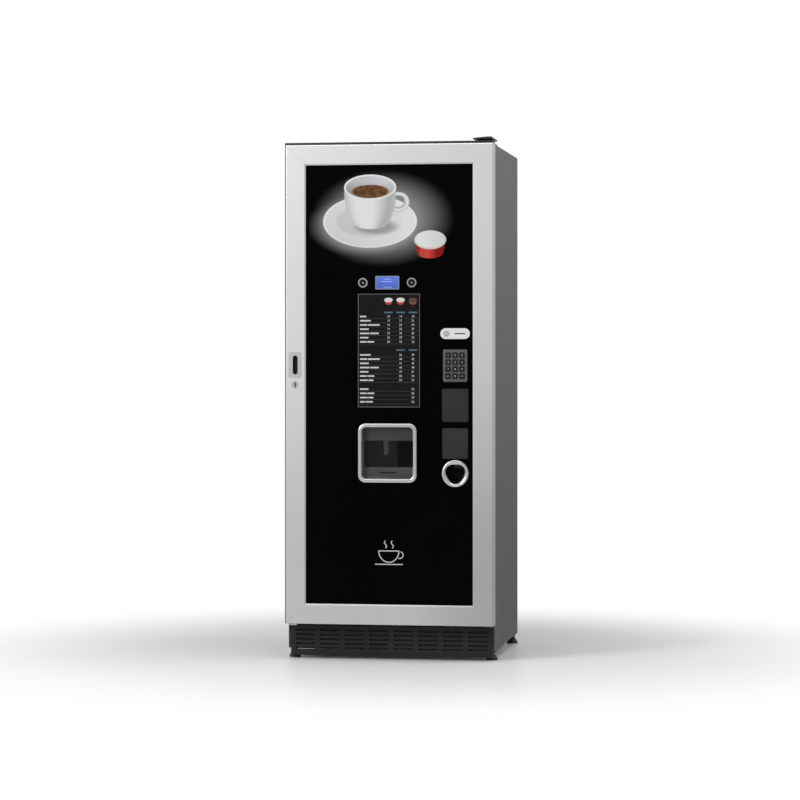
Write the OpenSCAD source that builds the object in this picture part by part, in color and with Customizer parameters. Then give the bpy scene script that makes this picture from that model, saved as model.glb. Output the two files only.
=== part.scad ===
// Floor-standing hot coffee vending machine with a hinged front door.
// Millimetres. Origin on the floor under the middle of the machine, front towards -Y, +Z up.

/* [Overall] */
// Width of the door
body_w = 745; // [620:1:900]
// Height of the door's top edge above the floor
body_h = 1830; // [1525:1:2200]
// Depth from the front frame to the rear edges of the side panels
body_d = 735; // [612:1:885]

/* [Cabinet] */
// Sheet metal thickness
sheet = 2; // [1.5:0.1:3]
// Height of the levelling feet
foot_h = 35; // [28:1:45]
// Radius of a levelling foot
foot_r = 20; // [16:0.5:24]
// Width of the side panels' front and rear returns
return_w = 22; // [18:1:28]
// Height of the base grille's top edge
grille_top = 117; // [100:1:130]
// Gap between the floor and the base grille
grille_gap = 10; // [6:1:16]
// How far the rear panel sits inside the side panels' rear edges
rear_inset = 8; // [6:1:14]
// Height of the equipment shelf
shelf_z = 880; // [860:1:900]

/* [Door] */
// Thickness of the door
door_t = 62; // [52:1:74]
// Gap between the closed door and the cabinet
door_gap = 5.5; // [4:0.5:8]
// Gap between the door's lower edge and the base grille
door_lift = 9; // [7:1:14]
// Width of the silver frame's face
frame_w = 72; // [60:1:84]
// Thickness of the silver frame's face
frame_t = 5; // [4:0.5:6]
// Thickness of the front glass
glass_t = 4; // [3:0.5:5]
// Height of the dark rim above the silver frame
rim_top = 9; // [6:1:12]
// Width of the dark rim at the left of the silver frame
rim_side = 4.5; // [3:0.5:6]
// Radius of the door's hinge pins
pin_r = 5; // [4:0.5:6]
// Running clearance of pins and spindles
run = 0.05; // [0.03:0.01:0.08]

/* [Cup hatch] */
// Width of the hatch opening
hatch_w = 178; // [150:1:200]
// Height of the hatch opening
hatch_h = 181; // [155:1:205]
// Height of the hatch's middle
hatch_z = 732.5; // [725:0.5:740]
// Width of the hatch bezel's face
hatch_rim = 15.5; // [12:0.5:18]
// Depth of the cup compartment
cup_d = 145; // [125:1:150]

/* [Controls] */
// Distance of the control column from the middle
ctrl_x = 238; // [230:1:244]
// Width and height of a key
key_w = 19.5; // [16:0.5:21]
// Gap between neighbouring keys
key_gap = 5; // [3.5:0.1:6]
// Travel of a key
key_travel = 1.5; // [1:0.1:2]
// Radius of the two round selection buttons
button_r = 12.2; // [10:0.1:13]
// Travel of the selection buttons
button_travel = 2; // [1.5:0.1:3]
// Radius of the coin return button
coin_button_r = 11; // [9:0.5:12]
// Radius of the coin return ring
coin_ring_r = 47.3; // [44:0.1:50]

/* [Inside] */
// Number of cup stacks in the turret
stacks = 5; // [4:1:5]
// Radius of the cup turret
turret_r = 120; // [112:1:125]
// Number of powder canisters
canisters_n = 4; // [3:1:4]
// Radius of the boiler
boiler_r = 80; // [65:1:85]
// Height of the boiler
boiler_h = 260; // [200:1:300]
// Radius of the cooling fan's blades
fan_r = 52; // [42:1:60]
// Thread radius of the water inlet
inlet_r = 13.2; // [10:0.1:16]
// Length of the thread on the water inlet
inlet_len = 28; // [16:1:28]

/* [Hidden] */
$fn = 64;
eps = 1;

// Main planes of the machine
front_y = -body_d / 2;
rear_y = body_d / 2;
half_w = body_w / 2;
side_x = half_w - 2.5;
in_x = side_x - sheet;
door_rear = front_y + door_t;
cab_front = door_rear + door_gap;
cab_top = body_h - 10;
rear_plate = rear_y - rear_inset - sheet;
door_bot = grille_top + door_lift;
glass_y = front_y + frame_t;

// Silver frame's outline and the glass window inside it
frame_l = -half_w + rim_side;
frame_r = half_w;
frame_top = body_h - rim_top;
frame_bot = door_bot + 1;
win_l = frame_l + frame_w;
win_r = frame_r - frame_w;
win_b = frame_bot + frame_w;
win_t = frame_top - frame_w;

// Door hinge axis, near the door's rear right corner
hinge_x = half_w - 9.5;
hinge_y = door_rear - 14.5;

// Places of the fittings on the glass
hatch_x = -3.5;
ring_z = 662;
keypad_z = 1040.5;
coin_z = 1153;
display_z = 1333;
button_x = 87;
grip_x = frame_l + 34.5;
grip_z = 1043;
lock_z = 972.5;
cover_z = [901.5, 767.6];
cover_w = [92.8, 91];
cover_h = [116.6, 107];

// Sizes that fittings share with the holes that they sit in
fit = 0.3;
hatch_sleeve = 6;
hatch_axis_y = glass_y + 2.5;
hatch_axis_z = hatch_z + hatch_h / 2 - 8.5;
hatch_pin_r = 2.5;
flap_t = 4;
comp_wall = 2.5;
comp_front = glass_y + 18;
comp_rear = comp_front + cup_d;
bowl_depth = 44;
keypad_w = 3 * (key_w + key_gap) + 12.2;
keypad_h = 4 * (key_w + key_gap) + 15.6;
pan_flange_y = glass_y + glass_t;
rim_front = front_y + 12;

// A box given by its lowest and highest corners
module block(lo, hi) {
    translate(lo) cube(hi - lo);
}

// A plate standing in XZ with round corners, from y0 to y1
module slab(x, z, w, h, r, y0, y1) {
    translate([x, y1, z]) rotate([90, 0, 0])
        linear_extrude(y1 - y0) rounded(w, h, r);
}

// Flat outline with round corners
module rounded(w, h, r) {
    square([w - 2 * r, h], center = true);
    square([w, h - 2 * r], center = true);
    for (x = [-1, 1], y = [-1, 1])
        translate([x * (w / 2 - r), y * (h / 2 - r)]) circle(r);
}

// Cylinder along Y from y0 to y1
module rod_y(x, z, r, y0, y1) {
    translate([x, y1, z]) rotate([90, 0, 0]) cylinder(r = r, h = y1 - y0);
}

// Cylinder along X from x0 to x1
module rod_x(y, z, r, x0, x1) {
    translate([x0, y, z]) rotate([0, 90, 0]) cylinder(r = r, h = x1 - x0);
}

// Cylinder along Z from z0 to z1
module rod_z(x, y, r, z0, z1) {
    translate([x, y, z0]) cylinder(r = r, h = z1 - z0);
}

// ---------- Cabinet ----------

// A folded side panel with front and rear returns; side is -1 for left and 1 for right
module side_panel(side) {
    lip = grille_top + 7;
    mirror([side > 0 ? 0 : 1, 0, 0]) {
        block([in_x, cab_front, foot_h], [side_x, rear_y, cab_top - sheet]);
        block([side_x - return_w, cab_front, lip], [in_x + eps, cab_front + sheet, cab_top - sheet]);
        block([side_x - return_w, rear_y - sheet, foot_h], [in_x + eps, rear_y, cab_top - sheet]);
    }
}

module left_panel() { color([0.38, 0.38, 0.38]) side_panel(-1); }
module right_panel() { color([0.38, 0.38, 0.38]) side_panel(1); }

// Fan, mains inlet and water inlet places on the rear panel
fan_x = 0;
fan_z = body_h - 130;
mains_x = -60;
mains_z = 600;
water_x = 230;
water_z = 330;
recess_w = 64;
recess_d = 22;
mains_w = 54;
mains_h = 34;
panel_w = 2 * in_x - 2 * fit;

// Rear panel with fan slots, louvres, a mains cut-out and a pocket for the water inlet
module rear_panel() {
    r = recess_w / 2;
    color([0.45, 0.45, 0.45]) difference() {
        union() {
            block([-panel_w / 2, rear_plate, foot_h + 5], [panel_w / 2, rear_plate + sheet, cab_top - 5]);
            block([water_x - r - sheet, rear_plate - recess_d, water_z - r - sheet],
                [water_x + r + sheet, rear_plate + eps, water_z + r + sheet]);
        }
        block([water_x - r, rear_plate - recess_d + sheet, water_z - r],
            [water_x + r, rear_y, water_z + r]);
        rod_y(water_x, water_z, inlet_r + 0.6, rear_plate - recess_d - eps, rear_y);
        block([mains_x - mains_w / 2, rear_plate - eps, mains_z - mains_h / 2],
            [mains_x + mains_w / 2, rear_y, mains_z + mains_h / 2]);
        for (i = [-4:4])
            slot_hole(fan_x, fan_z + i * fan_r / 5, 2 * sqrt(pow(fan_r, 2) - pow(i * fan_r / 5, 2)));
        for (x = [-1, 1], i = [0:7]) slot_hole(x * in_x * 0.6, 130 + i * 14, 120);
    }
    color([0.1, 0.1, 0.1]) fan_housing();
}

// Round-ended slot through the rear panel
module slot_hole(x, z, w) {
    r = 2.5;
    block([x - w / 2 + r, rear_plate - eps, z - r], [x + w / 2 - r, rear_plate + sheet + eps, z + r]);
    for (s = [-1, 1]) rod_y(x + s * (w / 2 - r), z, r, rear_plate - eps, rear_plate + sheet + eps);
}

// Square fan body inside the rear panel: a duct, a motor hub and three struts
module fan_housing() {
    y0 = rear_plate - 38;
    y1 = rear_plate - fit;
    difference() {
        slab(fan_x, fan_z, 2 * fan_r + 16, 2 * fan_r + 16, 9, y0, y1);
        difference() {
            rod_y(fan_x, fan_z, fan_r + 2.5, y0 - eps, y1 + eps);
            rod_y(fan_x, fan_z, 20, rear_plate - 10, y1);
            for (a = [90, 210, 330])
                translate([fan_x, 0, fan_z]) rotate([0, a, 0])
                    block([0, rear_plate - 8, -3], [fan_r + 4, y1, 3]);
        }
        rod_y(fan_x, fan_z, 3 + run, rear_plate - 12, rear_plate - 1);
    }
}

module fan_rotor() {
    y1 = rear_plate - 10.4;
    color([0.12, 0.12, 0.12]) {
        rod_y(fan_x, fan_z, 18, y1 - 20, y1);
        rod_y(fan_x, fan_z, 3, y1 - eps, rear_plate - 1.4);
        for (i = [0:6])
            translate([fan_x, y1 - 10, fan_z]) rotate([0, i * 360 / 7, 0]) rotate([32, 0, 0])
                block([15, -1, -10], [fan_r, 1, 10]);
    }
}

// Top panel laid over the side panels, with front and rear lips folded down
module top_panel() {
    color([0.45, 0.45, 0.45]) {
        block([-side_x, cab_front, cab_top - sheet], [side_x, rear_y, cab_top]);
        block([return_w - side_x + fit, cab_front, cab_top - 26],
            [side_x - return_w - fit, cab_front + sheet, cab_top - sheet + eps]);
        block([return_w - side_x + fit, rear_y - sheet, cab_top - 26],
            [side_x - return_w - fit, rear_y, cab_top - sheet + eps]);
    }
}

// Base tray with a raised edge, a front apron and four foot bosses
tray_wall = 60;
foot_x = in_x - 13;
foot_front = cab_front + 38;
foot_rear = rear_y - 38;
module base_tray() {
    x = in_x - fit;
    y0 = cab_front + 12;
    color([0.3, 0.3, 0.3]) difference() {
        union() {
            difference() {
                block([-x, y0, foot_h], [x, rear_plate - fit, foot_h + tray_wall]);
                block([-x + sheet, y0 + sheet, foot_h + 3],
                    [x - sheet, rear_plate - fit - sheet, foot_h + tray_wall + eps]);
            }
            block([-x + 2, y0, foot_h], [x - 2, y0 + sheet, grille_top - 3]);
            for (s = [-1, 1], y = [foot_front, foot_rear])
                rod_z(s * foot_x, y, 12, foot_h, foot_h + 22);
        }
        for (s = [-1, 1], y = [foot_front, foot_rear])
            rod_z(s * foot_x, y, 6 + run, foot_h - eps, foot_h + 30);
    }
}

// Adjustable feet: a conical pad, a locknut and a threaded stud in the tray's boss
module levelling_feet() {
    color([0.1, 0.1, 0.1])
        for (s = [-1, 1], y = [foot_front, foot_rear]) translate([s * foot_x, y, 0]) {
            cylinder(r = foot_r, h = 6);
            translate([0, 0, 6]) cylinder(r1 = foot_r, r2 = 11, h = 14);
            cylinder(r = 6, h = foot_h + 26);
            translate([0, 0, 22]) cylinder(r = 10, h = 8, $fn = 6);
        }
}

// Kick grille with rows of slots, its back resting on the tray's apron
grille_cols = 8;
grille_rows = 5;
module base_grille() {
    x = in_x - 6;
    z0 = grille_gap;
    pitch_x = (2 * x - 16) / grille_cols;
    pitch_z = 16;
    color([0.14, 0.14, 0.14]) difference() {
        block([-x, cab_front, z0], [x, cab_front + 12, grille_top]);
        block([-x + 3, cab_front + 3, z0 - eps], [x - 3, cab_front + 9, grille_top - 4]);
        for (i = [0:grille_cols - 1], j = [0:grille_rows - 1])
            slab(-x + 8 + (i + 0.5) * pitch_x, z0 + 26 + j * pitch_z, pitch_x - 18, 7, 3.4,
                cab_front - eps, cab_front + 4);
        block([-x + 12, cab_front + 8, z0 - eps], [x - 12, cab_front + 13, foot_h - 2]);
    }
}

// Upper and lower hinge brackets with their fixed pins, and the cover over the upper one
lower_arm = grille_top + 1;
arm_t = 5;
arm_x = hinge_x - 22;
module door_hinges() {
    over = body_h + 1;
    color([0.1, 0.1, 0.1]) {
        block([arm_x, cab_front - 1, lower_arm], [in_x, cab_front + 50, lower_arm + arm_t]);
        block([arm_x, hinge_y - 10, lower_arm], [hinge_x + 8, cab_front - 0.5, lower_arm + arm_t]);
        block([in_x - 4, cab_front + 4, lower_arm], [in_x, cab_front + 90, lower_arm + 70]);
        rod_z(hinge_x, hinge_y, pin_r, lower_arm, lower_arm + 38);
        block([arm_x - 30, cab_front + 1, cab_top], [hinge_x + 6, cab_front + 80, cab_top + 4]);
        block([arm_x - 30, cab_front + 1, cab_top], [hinge_x + 6, cab_front + 8, over + 4]);
        block([arm_x, hinge_y - 10, over], [hinge_x + 6, cab_front + 8, over + 4]);
        rod_z(hinge_x, hinge_y, pin_r, over - 32, over + 4);
        hinge_cover(over + 4);
    }
}

// Low cover with a gently rising top over the upper hinge arm
module hinge_cover(z) {
    x0 = hinge_x - 62;
    x1 = half_w - 3;
    translate([0, cab_front + 70, 0]) rotate([90, 0, 0])
        linear_extrude(cab_front + 70 - front_y - 4) polygon([
            [x0, z], [x1, z], [x1, z + 6], [x1 - 3, z + 8], [x1 - 14, z + 8.5],
            [x0 + 8, z + 5], [x0 + 8, z + 3.6], [x0 + 4, z + 3.6], [x0 + 4, z + 4.6], [x0, z + 4]
        ]);
}

// Bright rest on the left that carries the free side of the closed door
module door_rest() {
    color([0.8, 0.8, 0.8]) difference() {
        union() {
            block([-in_x, cab_front + 1, lower_arm], [-in_x + 30, cab_front + 50, lower_arm + 4]);
            block([-in_x, cab_front - 20, lower_arm], [-in_x + 30, cab_front + 2, lower_arm + 4]);
            block([-in_x, cab_front + 4, lower_arm], [-in_x + 4, cab_front + 50, lower_arm + 40]);
        }
        rod_z(-in_x + 17, cab_front + 26, 3.2, lower_arm - eps, lower_arm + 5);
    }
}

// Shelf across the cabinet with folded front and rear edges
module equipment_shelf() {
    x = in_x - fit;
    y0 = cab_front + 130;
    y1 = rear_plate - 8;
    color([0.7, 0.7, 0.7]) difference() {
        union() {
            block([-x, y0, shelf_z - sheet], [x, y1, shelf_z]);
            block([-x, y0, shelf_z - 24], [x, y0 + sheet, shelf_z - sheet + eps]);
            block([-x, y1 - sheet, shelf_z - 24], [x, y1, shelf_z - sheet + eps]);
            for (s = [-1, 1])
                block([s > 0 ? x - sheet : -x, y0, shelf_z - 24],
                    [s > 0 ? x : -x + sheet, y1, shelf_z - sheet + eps]);
        }
        for (p = shelf_holes) rod_z(p[0], p[1], p[2], shelf_z - 5, shelf_z + eps);
    }
}

// ---------- Equipment ----------

// Places shared by the equipment, the shelf and the hoses
shelf_back = rear_plate - 20;
boiler_x = in_x - boiler_r - 28;
boiler_y = shelf_back - boiler_r - 60;
boiler_top = shelf_z + 14 + boiler_h;
pump_x = boiler_x - boiler_r - 62;
pump_y = boiler_y + 10;
brew_x = -30;
brew_y = cab_front + 250;
brew_w = 150;
brew_d = 150;
brew_h = 250;
mag_x = -in_x + 116;
mag_y = cab_front + 300;
mag_r = 96;
top_zone = shelf_z + 460;
bowl_z = top_zone - 60;
can_z = top_zone + 60;
can_top = cab_top - 60;
can_d = 190;
can_y = cab_front + 18;
can_left = -in_x + 2 * turret_r + 30;
can_pitch = (in_x - 10 - can_left) / canisters_n;
can_w = can_pitch - 8;
turret_x = -in_x + turret_r + 12;
turret_y = cab_front + turret_r + 12;
tank_w = 190;
tank_x = in_x - 20 - tank_w;
tank_y = can_y + can_d + 30;
chute_w = 90;
shelf_holes = [[in_x - 13, rear_plate - recess_d - 80, 7]];

function can_x(i) = can_left + (i + 0.5) * can_pitch;

// Boiler: a lagged cylinder with domed ends, three feet, an element flange and two ports
module boiler() {
    color([0.75, 0.75, 0.77]) translate([boiler_x, boiler_y, 0]) {
        rod_z(0, 0, boiler_r, shelf_z + 24, boiler_top - 10);
        rod_z(0, 0, boiler_r - 12, shelf_z + 14, boiler_top);
        rod_z(0, 0, 28, boiler_top, boiler_top + 8);
        for (a = [30:60:330])
            rotate([0, 0, a]) rod_z(20, 0, 3, boiler_top + 8, boiler_top + 12);
        for (a = [0, 120, 240])
            rotate([0, 0, a]) block([boiler_r - 22, -9, shelf_z], [boiler_r - 4, 9, shelf_z + 24 + eps]);
        for (s = [-1, 1]) rod_z(s * 44, 0, 6, boiler_top, boiler_top + 16);
        for (z = [60, boiler_h - 50])
            difference() {
                rod_z(0, 0, boiler_r + 1.5, shelf_z + z, shelf_z + z + 14);
                rod_z(0, 0, boiler_r - 1, shelf_z + z - eps, shelf_z + z + 15);
            }
    }
}

// Vibration pump lying on a rubber-footed bracket
module water_pump() {
    z = shelf_z + 40;
    color([0.55, 0.5, 0.4]) translate([pump_x, 0, 0]) {
        block([-24, pump_y - 50, shelf_z], [24, pump_y + 50, shelf_z + 4]);
        for (y = [-36, 36]) block([-18, pump_y + y - 4, shelf_z + 3], [18, pump_y + y + 4, z]);
        block([-24, pump_y - 32, z - 24], [24, pump_y + 32, z + 24]);
        rod_y(0, z, 17, pump_y - 52, pump_y + 46);
        rod_y(0, z, 6, pump_y - 68, pump_y - 51);
        rod_y(0, z, 6, pump_y + 45, pump_y + 62);
    }
}

// Air-break tank hung on the rear of the canister deck, with a lid, an inlet and an outlet
module water_tank() {
    z0 = top_zone + 110;
    z1 = cab_top - 70;
    y1 = rear_plate - 60;
    color([0.85, 0.88, 0.9]) {
        difference() {
            block([tank_x, tank_y, z0], [tank_x + tank_w, y1, z1]);
            block([tank_x + 3, tank_y + 3, z0 + 3], [tank_x + tank_w - 3, y1 - 3, z1 + eps]);
        }
        block([tank_x - 2, tank_y - 2, z1 + 0.01], [tank_x + tank_w + 2, y1 + 2, z1 + 5]);
        rod_z(tank_x + tank_w - 40, y1 - 40, 7, z1 + 4, z1 + 22);
        rod_z(tank_x + 40, tank_y + 50, 7, z0 - 16, z0 + eps);
        block([tank_x + 70, y1 - eps, z0 + 10], [tank_x + 120, rear_plate, z0 + 40]);
    }
}

// Powder canisters with lids, outlet spouts and auger couplings
module canisters() {
    color([0.82, 0.83, 0.84]) for (i = [0:canisters_n - 1]) translate([can_x(i), can_y, 0]) {
        difference() {
            slope = min(40, can_w / 2);
            block([-can_w / 2, 30, can_z], [can_w / 2, can_d, can_top]);
            block([-can_w / 2 + 3, 33, can_z + 30], [can_w / 2 - 3, can_d - 3, can_top + eps]);
            rotate([90, 0, 0]) translate([0, 0, -can_d - eps]) linear_extrude(can_d + 3)
                for (s = [-1, 1]) polygon([
                    [s * can_w, can_z - eps], [s * (can_w / 2 - slope + 22), can_z - eps],
                    [s * can_w / 2, can_z + 26], [s * can_w, can_z + 26]
                ]);
        }
        block([-can_w / 2 - 2, 28, can_top + 0.01], [can_w / 2 + 2, can_d + 2, can_top + 8]);
        rod_y(0, can_z + 14, 12, 6, 31);
        rod_z(0, 14, 9, can_z - 16, can_z + 16);
        rod_y(0, can_z + 14, 8, can_d - eps, can_d + 20);
    }
    color([0.6, 0.6, 0.62]) canister_deck();
}

// Folded deck under the canisters, carried by the cabinet's sides
module canister_deck() {
    y0 = can_y + 40;
    y1 = can_y + can_d + 24;
    z = can_z - 0.01;
    block([can_left + 2, y0, z - sheet], [in_x - fit, y1, z]);
    block([can_left + 2, y1 - sheet, z - 30], [in_x - fit, y1, z]);
    block([can_left + 2, y0, z - 60], [can_left + 2 + sheet, y1, z]);
    block([in_x - fit - sheet, y0, z - 60], [in_x - fit, y1, z]);
    block([can_left + 2, y1, z - 30], [can_left + 2 + 40, rear_plate, z - 30 + sheet]);
}

// Mixer bowls under the canister outlets, each with its whipper motor and outlet nipple
module mixer_bowls() {
    y = can_y + 14;
    z = bowl_z;
    color([0.72, 0.7, 0.68]) {
        for (i = [0:canisters_n - 1]) translate([can_x(i), y, 0]) {
            difference() {
                union() {
                    rod_z(0, 12, 30, z + 36, z + 88);
                    translate([0, 12, z + 6]) cylinder(r1 = 12, r2 = 30, h = 30 + eps);
                }
                rod_z(0, 12, 27, z + 36, z + 89);
                translate([0, 12, z + 9]) cylinder(r1 = 10, r2 = 27, h = 27 + eps);
            }
            rod_z(0, 12, 13, z - 8, z + 10);
            rod_z(0, 12, 6, z - 30, z - 7);
            rod_y(0, z + 2, 17, 30, 78);
            rod_y(0, z + 2, 5, 24, 31);
            block([-22, 76, z - 20], [22, 80, z + 48]);
        }
        block([can_left + 8, y + 80 - 0.01, z - 20], [in_x - fit, y + 80 + sheet, z + 48]);
        block([can_left + 8, y + 80, z - 20], [in_x - fit, y + 104, z - 20 + sheet]);
    }
}

// Capsule carousel: tubes of capsules round a column on a base with its gear motor
module capsule_magazine() {
    tube_r = 27;
    n = 6;
    top = top_zone - 40;
    color([0.8, 0.8, 0.82]) translate([mag_x, mag_y, 0]) {
        rod_z(0, 0, mag_r + 4, shelf_z + 46, shelf_z + 54);
        rod_z(0, 0, 34, shelf_z, shelf_z + 47);
        rod_z(0, 0, 9, shelf_z + 50, top);
        rod_z(0, 0, mag_r - 8, top - 6, top);
        for (i = [0:n - 1]) rotate([0, 0, i * 360 / n]) translate([mag_r - tube_r, 0, 0]) {
            difference() {
                rod_z(0, 0, tube_r, shelf_z + 53, top - 5);
                rod_z(0, 0, tube_r - 2, shelf_z + 52, top - 4);
            }
            rotate_extrude() polygon(concat([[0, shelf_z + 54.3]],
                [for (k = [0:6], p = [[14, 0], [18.5, 24], [18.5, 26], [22, 26], [22, 28], [14, 28]])
                    [p[0], shelf_z + 54.3 + 30 * k + p[1]]],
                [[0, shelf_z + 54.3 + 208]]));
        }
    }
}

// Brew group: two side plates, a chamber, a piston on its spindle and a drive motor
module brew_unit() {
    z = shelf_z;
    color([0.35, 0.36, 0.38]) translate([brew_x, brew_y, 0]) {
        block([-brew_w / 2, -brew_d / 2, z], [brew_w / 2, brew_d / 2, z + 8]);
        for (s = [-1, 1])
            block([s > 0 ? brew_w / 2 - 6 : -brew_w / 2, -brew_d / 2, z + 7],
                [s > 0 ? brew_w / 2 : -brew_w / 2 + 6, brew_d / 2 - 40, z + brew_h]);
        block([-brew_w / 2, -brew_d / 2 + 10, z + brew_h - 10], [brew_w / 2, brew_d / 2 - 40, z + brew_h]);
        difference() {
            rod_z(0, -20, 34, z + 60, z + 130);
            rod_z(0, -20, 27, z + 72, z + 131);
        }
        block([-brew_w / 2 + 5, -46, z + 80], [brew_w / 2 - 5, 6, z + 92]);
        rod_z(0, -20, 25, z + 150, z + 172);
        rod_z(0, -20, 9, z + 171, z + brew_h - 9);
        rod_z(0, -20, 7, z + 40, z + 61);
        rod_z(38, 46, 24, z + 7, z + 110);
        rod_z(-40, 46, 16, z + 7, z + 90);
    }
}

// Cup dispenser: a release ring under the turret, its motor and the chute to the hatch
cup_ring_z = top_zone;
drop_x = turret_x + 40;
drop_y = turret_y - 70;
module cup_dispenser() {
    z = cup_ring_z;
    color([0.55, 0.56, 0.58]) {
        difference() {
            rod_z(turret_x, turret_y, turret_r, z, z + 34);
            rod_z(drop_x, drop_y, 42, z - eps, z + 35);
            rod_z(turret_x, turret_y, 8 + run, z + 8, z + 35);
        }
        block([-in_x, turret_y - 60, z - 8], [turret_x + 20, turret_y + 60, z + 0.01]);
        block([turret_x - 60, turret_y - 30, z - 60], [turret_x + 10, turret_y + 30, z - 7]);
        cup_chute(z);
    }
}

// Sloping square chute from the release ring to the back of the cup compartment
chute_end_x = hatch_x - 50;
chute_end_z = hatch_z + 142;
module cup_chute(z) {
    dx = chute_end_x - drop_x;
    dz = z - chute_end_z;
    tilt = atan2(dx, dz);
    len = sqrt(dx * dx + dz * dz);
    difference() {
        translate([drop_x, drop_y, z]) rotate([0, -tilt, 0]) difference() {
            block([-chute_w / 2, -chute_w / 2, -len], [chute_w / 2, chute_w / 2, 30]);
            block([-chute_w / 2 + 2, -chute_w / 2 + 2, -len - eps],
                [chute_w / 2 - 2, chute_w / 2 - 2, 31]);
        }
        block([-half_w, front_y, z - 0.01], [half_w, rear_y, z + 200]);
    }
}

// Turret of clear tubes full of cups, turning on its spindle above the release ring
module cup_turret() {
    z = cup_ring_z + 34 + fit;
    top = cab_top - 55;
    cup_r = 36;
    arm = turret_r - cup_r - 3;
    pitch = 18;
    cups = floor((top - z - 40) / pitch);
    color([0.93, 0.93, 0.9]) translate([turret_x, turret_y, 0]) {
        difference() {
            rod_z(0, 0, turret_r, z, z + 4);
            for (i = [0:stacks - 1]) rotate([0, 0, i * 360 / stacks])
                rod_z(arm, 0, cup_r - 3, z - eps, z + 5);
        }
        rod_z(0, 0, 8, z - 24, top);
        difference() {
            rod_z(0, 0, turret_r, top - 20, top - 17);
            for (i = [0:stacks - 1]) rotate([0, 0, i * 360 / stacks])
                rod_z(arm, 0, cup_r + 0.5, top - 21, top - 16);
        }
        for (i = [0:stacks - 1]) rotate([0, 0, i * 360 / stacks]) translate([arm, 0, 0])
            rotate_extrude() polygon(concat([[0, z]], [[cup_r - 8, z]],
                [for (k = [0:cups - 1], p = [[cup_r - 8, 8], [cup_r - 2, 9], [cup_r - 2, 12],
                    [cup_r - 8, 13]]) [p[0], z + 20 + k * pitch + p[1]]],
                [[0, z + 20 + (cups - 1) * pitch + 13]]));
    }
}

// Waste water bucket with its handle, and the bin for used capsules, on a raised floor
bin_front = cab_front + 140;
bin_floor = foot_h + tray_wall + 5;
module waste_bins() {
    depth = 230;
    color([0.2, 0.2, 0.22]) {
        open_bin(-in_x + 30, -in_x + 270, 300, depth);
        open_bin(-70, 90, 340, depth);
    }
    color([0.7, 0.7, 0.7]) {
        block([-in_x + fit, bin_front - 10, bin_floor - 4], [in_x - fit, bin_front + depth + 10, bin_floor]);
        for (s = [-1, 1], y = [bin_front - 10, bin_front + depth + 8])
            block([s > 0 ? in_x - fit - 24 : -in_x + fit, y, foot_h + tray_wall],
                [s > 0 ? in_x - fit : -in_x + fit + 24, y + sheet, bin_floor - 4 + 0.01]);
    }
}

// Open-topped bin with a rim, from x0 to x1
module open_bin(x0, x1, h, depth) {
    z0 = bin_floor + 0.01;
    difference() {
        union() {
            block([x0, bin_front, z0], [x1, bin_front + depth, z0 + h]);
            block([x0 - 5, bin_front - 5, z0 + h - 5], [x1 + 5, bin_front + depth + 5, z0 + h]);
        }
        block([x0 + 3, bin_front + 3, z0 + 3], [x1 - 3, bin_front + depth - 3, z0 + h + eps]);
    }
}

// Control box on the rear panel, with the mains inlet set through the panel
module control_box() {
    x0 = -170;
    x1 = 60;
    y0 = rear_plate - 110;
    color([0.62, 0.63, 0.65]) {
        block([x0, y0, mains_z - 120], [x1, rear_plate - 0.01, mains_z + 150]);
        block([x0 - 12, rear_plate - 4, mains_z - 100], [x1 + 12, rear_plate - 0.01, mains_z + 130]);
        for (i = [0:4]) block([x0 + 20 + i * 40, y0 - 3, mains_z + 100], [x0 + 44 + i * 40, y0 + eps, mains_z + 130]);
    }
    color([0.08, 0.08, 0.08]) difference() {
        union() {
            block([mains_x - mains_w / 2 + fit, rear_plate - eps, mains_z - mains_h / 2 + fit],
                [mains_x + mains_w / 2 - fit, rear_plate + sheet + 3, mains_z + mains_h / 2 - fit]);
        }
        slab(mains_x, mains_z, 26, 20, 3, rear_plate + 1, rear_y);
        for (s = [-1, 1]) rod_y(mains_x + s * 20, mains_z, 1.8, rear_plate + 1, rear_y);
    }
    color([0.75, 0.72, 0.6]) for (i = [-1:1])
        block([mains_x + i * 7 - 1, rear_plate, mains_z - 3], [mains_x + i * 7 + 1, rear_plate + 4, mains_z + 3]);
}

// Water inlet valve: flange behind the rear pocket, threaded inlet, solenoid and outlet
module inlet_valve() {
    y0 = rear_plate - recess_d - 0.01;
    thread_end = rear_y - 1;
    thread_start = thread_end - inlet_len;
    color([0.72, 0.6, 0.3]) translate([water_x, 0, water_z]) {
        rod_y(0, 0, 24, y0 - 8, y0);
        difference() {
            union() {
                rod_y(0, 0, inlet_r - 1.2, y0 - eps, thread_start + eps);
                rod_y(0, 0, inlet_r, thread_start, thread_end);
            }
            rod_y(0, 0, inlet_r - 4.5, y0 + 2, rear_y);
        }
        rod_y(0, 0, 17, y0 - 40, y0 - 7);
        rod_z(0, y0 - 28, 15, 10, 62);
        block([-20, y0 - 46, 24], [20, y0 - 10, 52]);
        rod_y(0, 0, 7, y0 - 62, y0 - 39);
    }
}

// ---------- Hoses ----------

hose_r = 5;
dock_z = hatch_z + 139;
dock_y = can_y + 26;
tank_rear = rear_plate - 60;
riser_x = in_x - 13;
riser_y = rear_plate - recess_d - 80;
inlet_end = rear_plate - recess_d - 62.01;
function dock_x(i) = hatch_x + 40 + i * 15;

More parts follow.
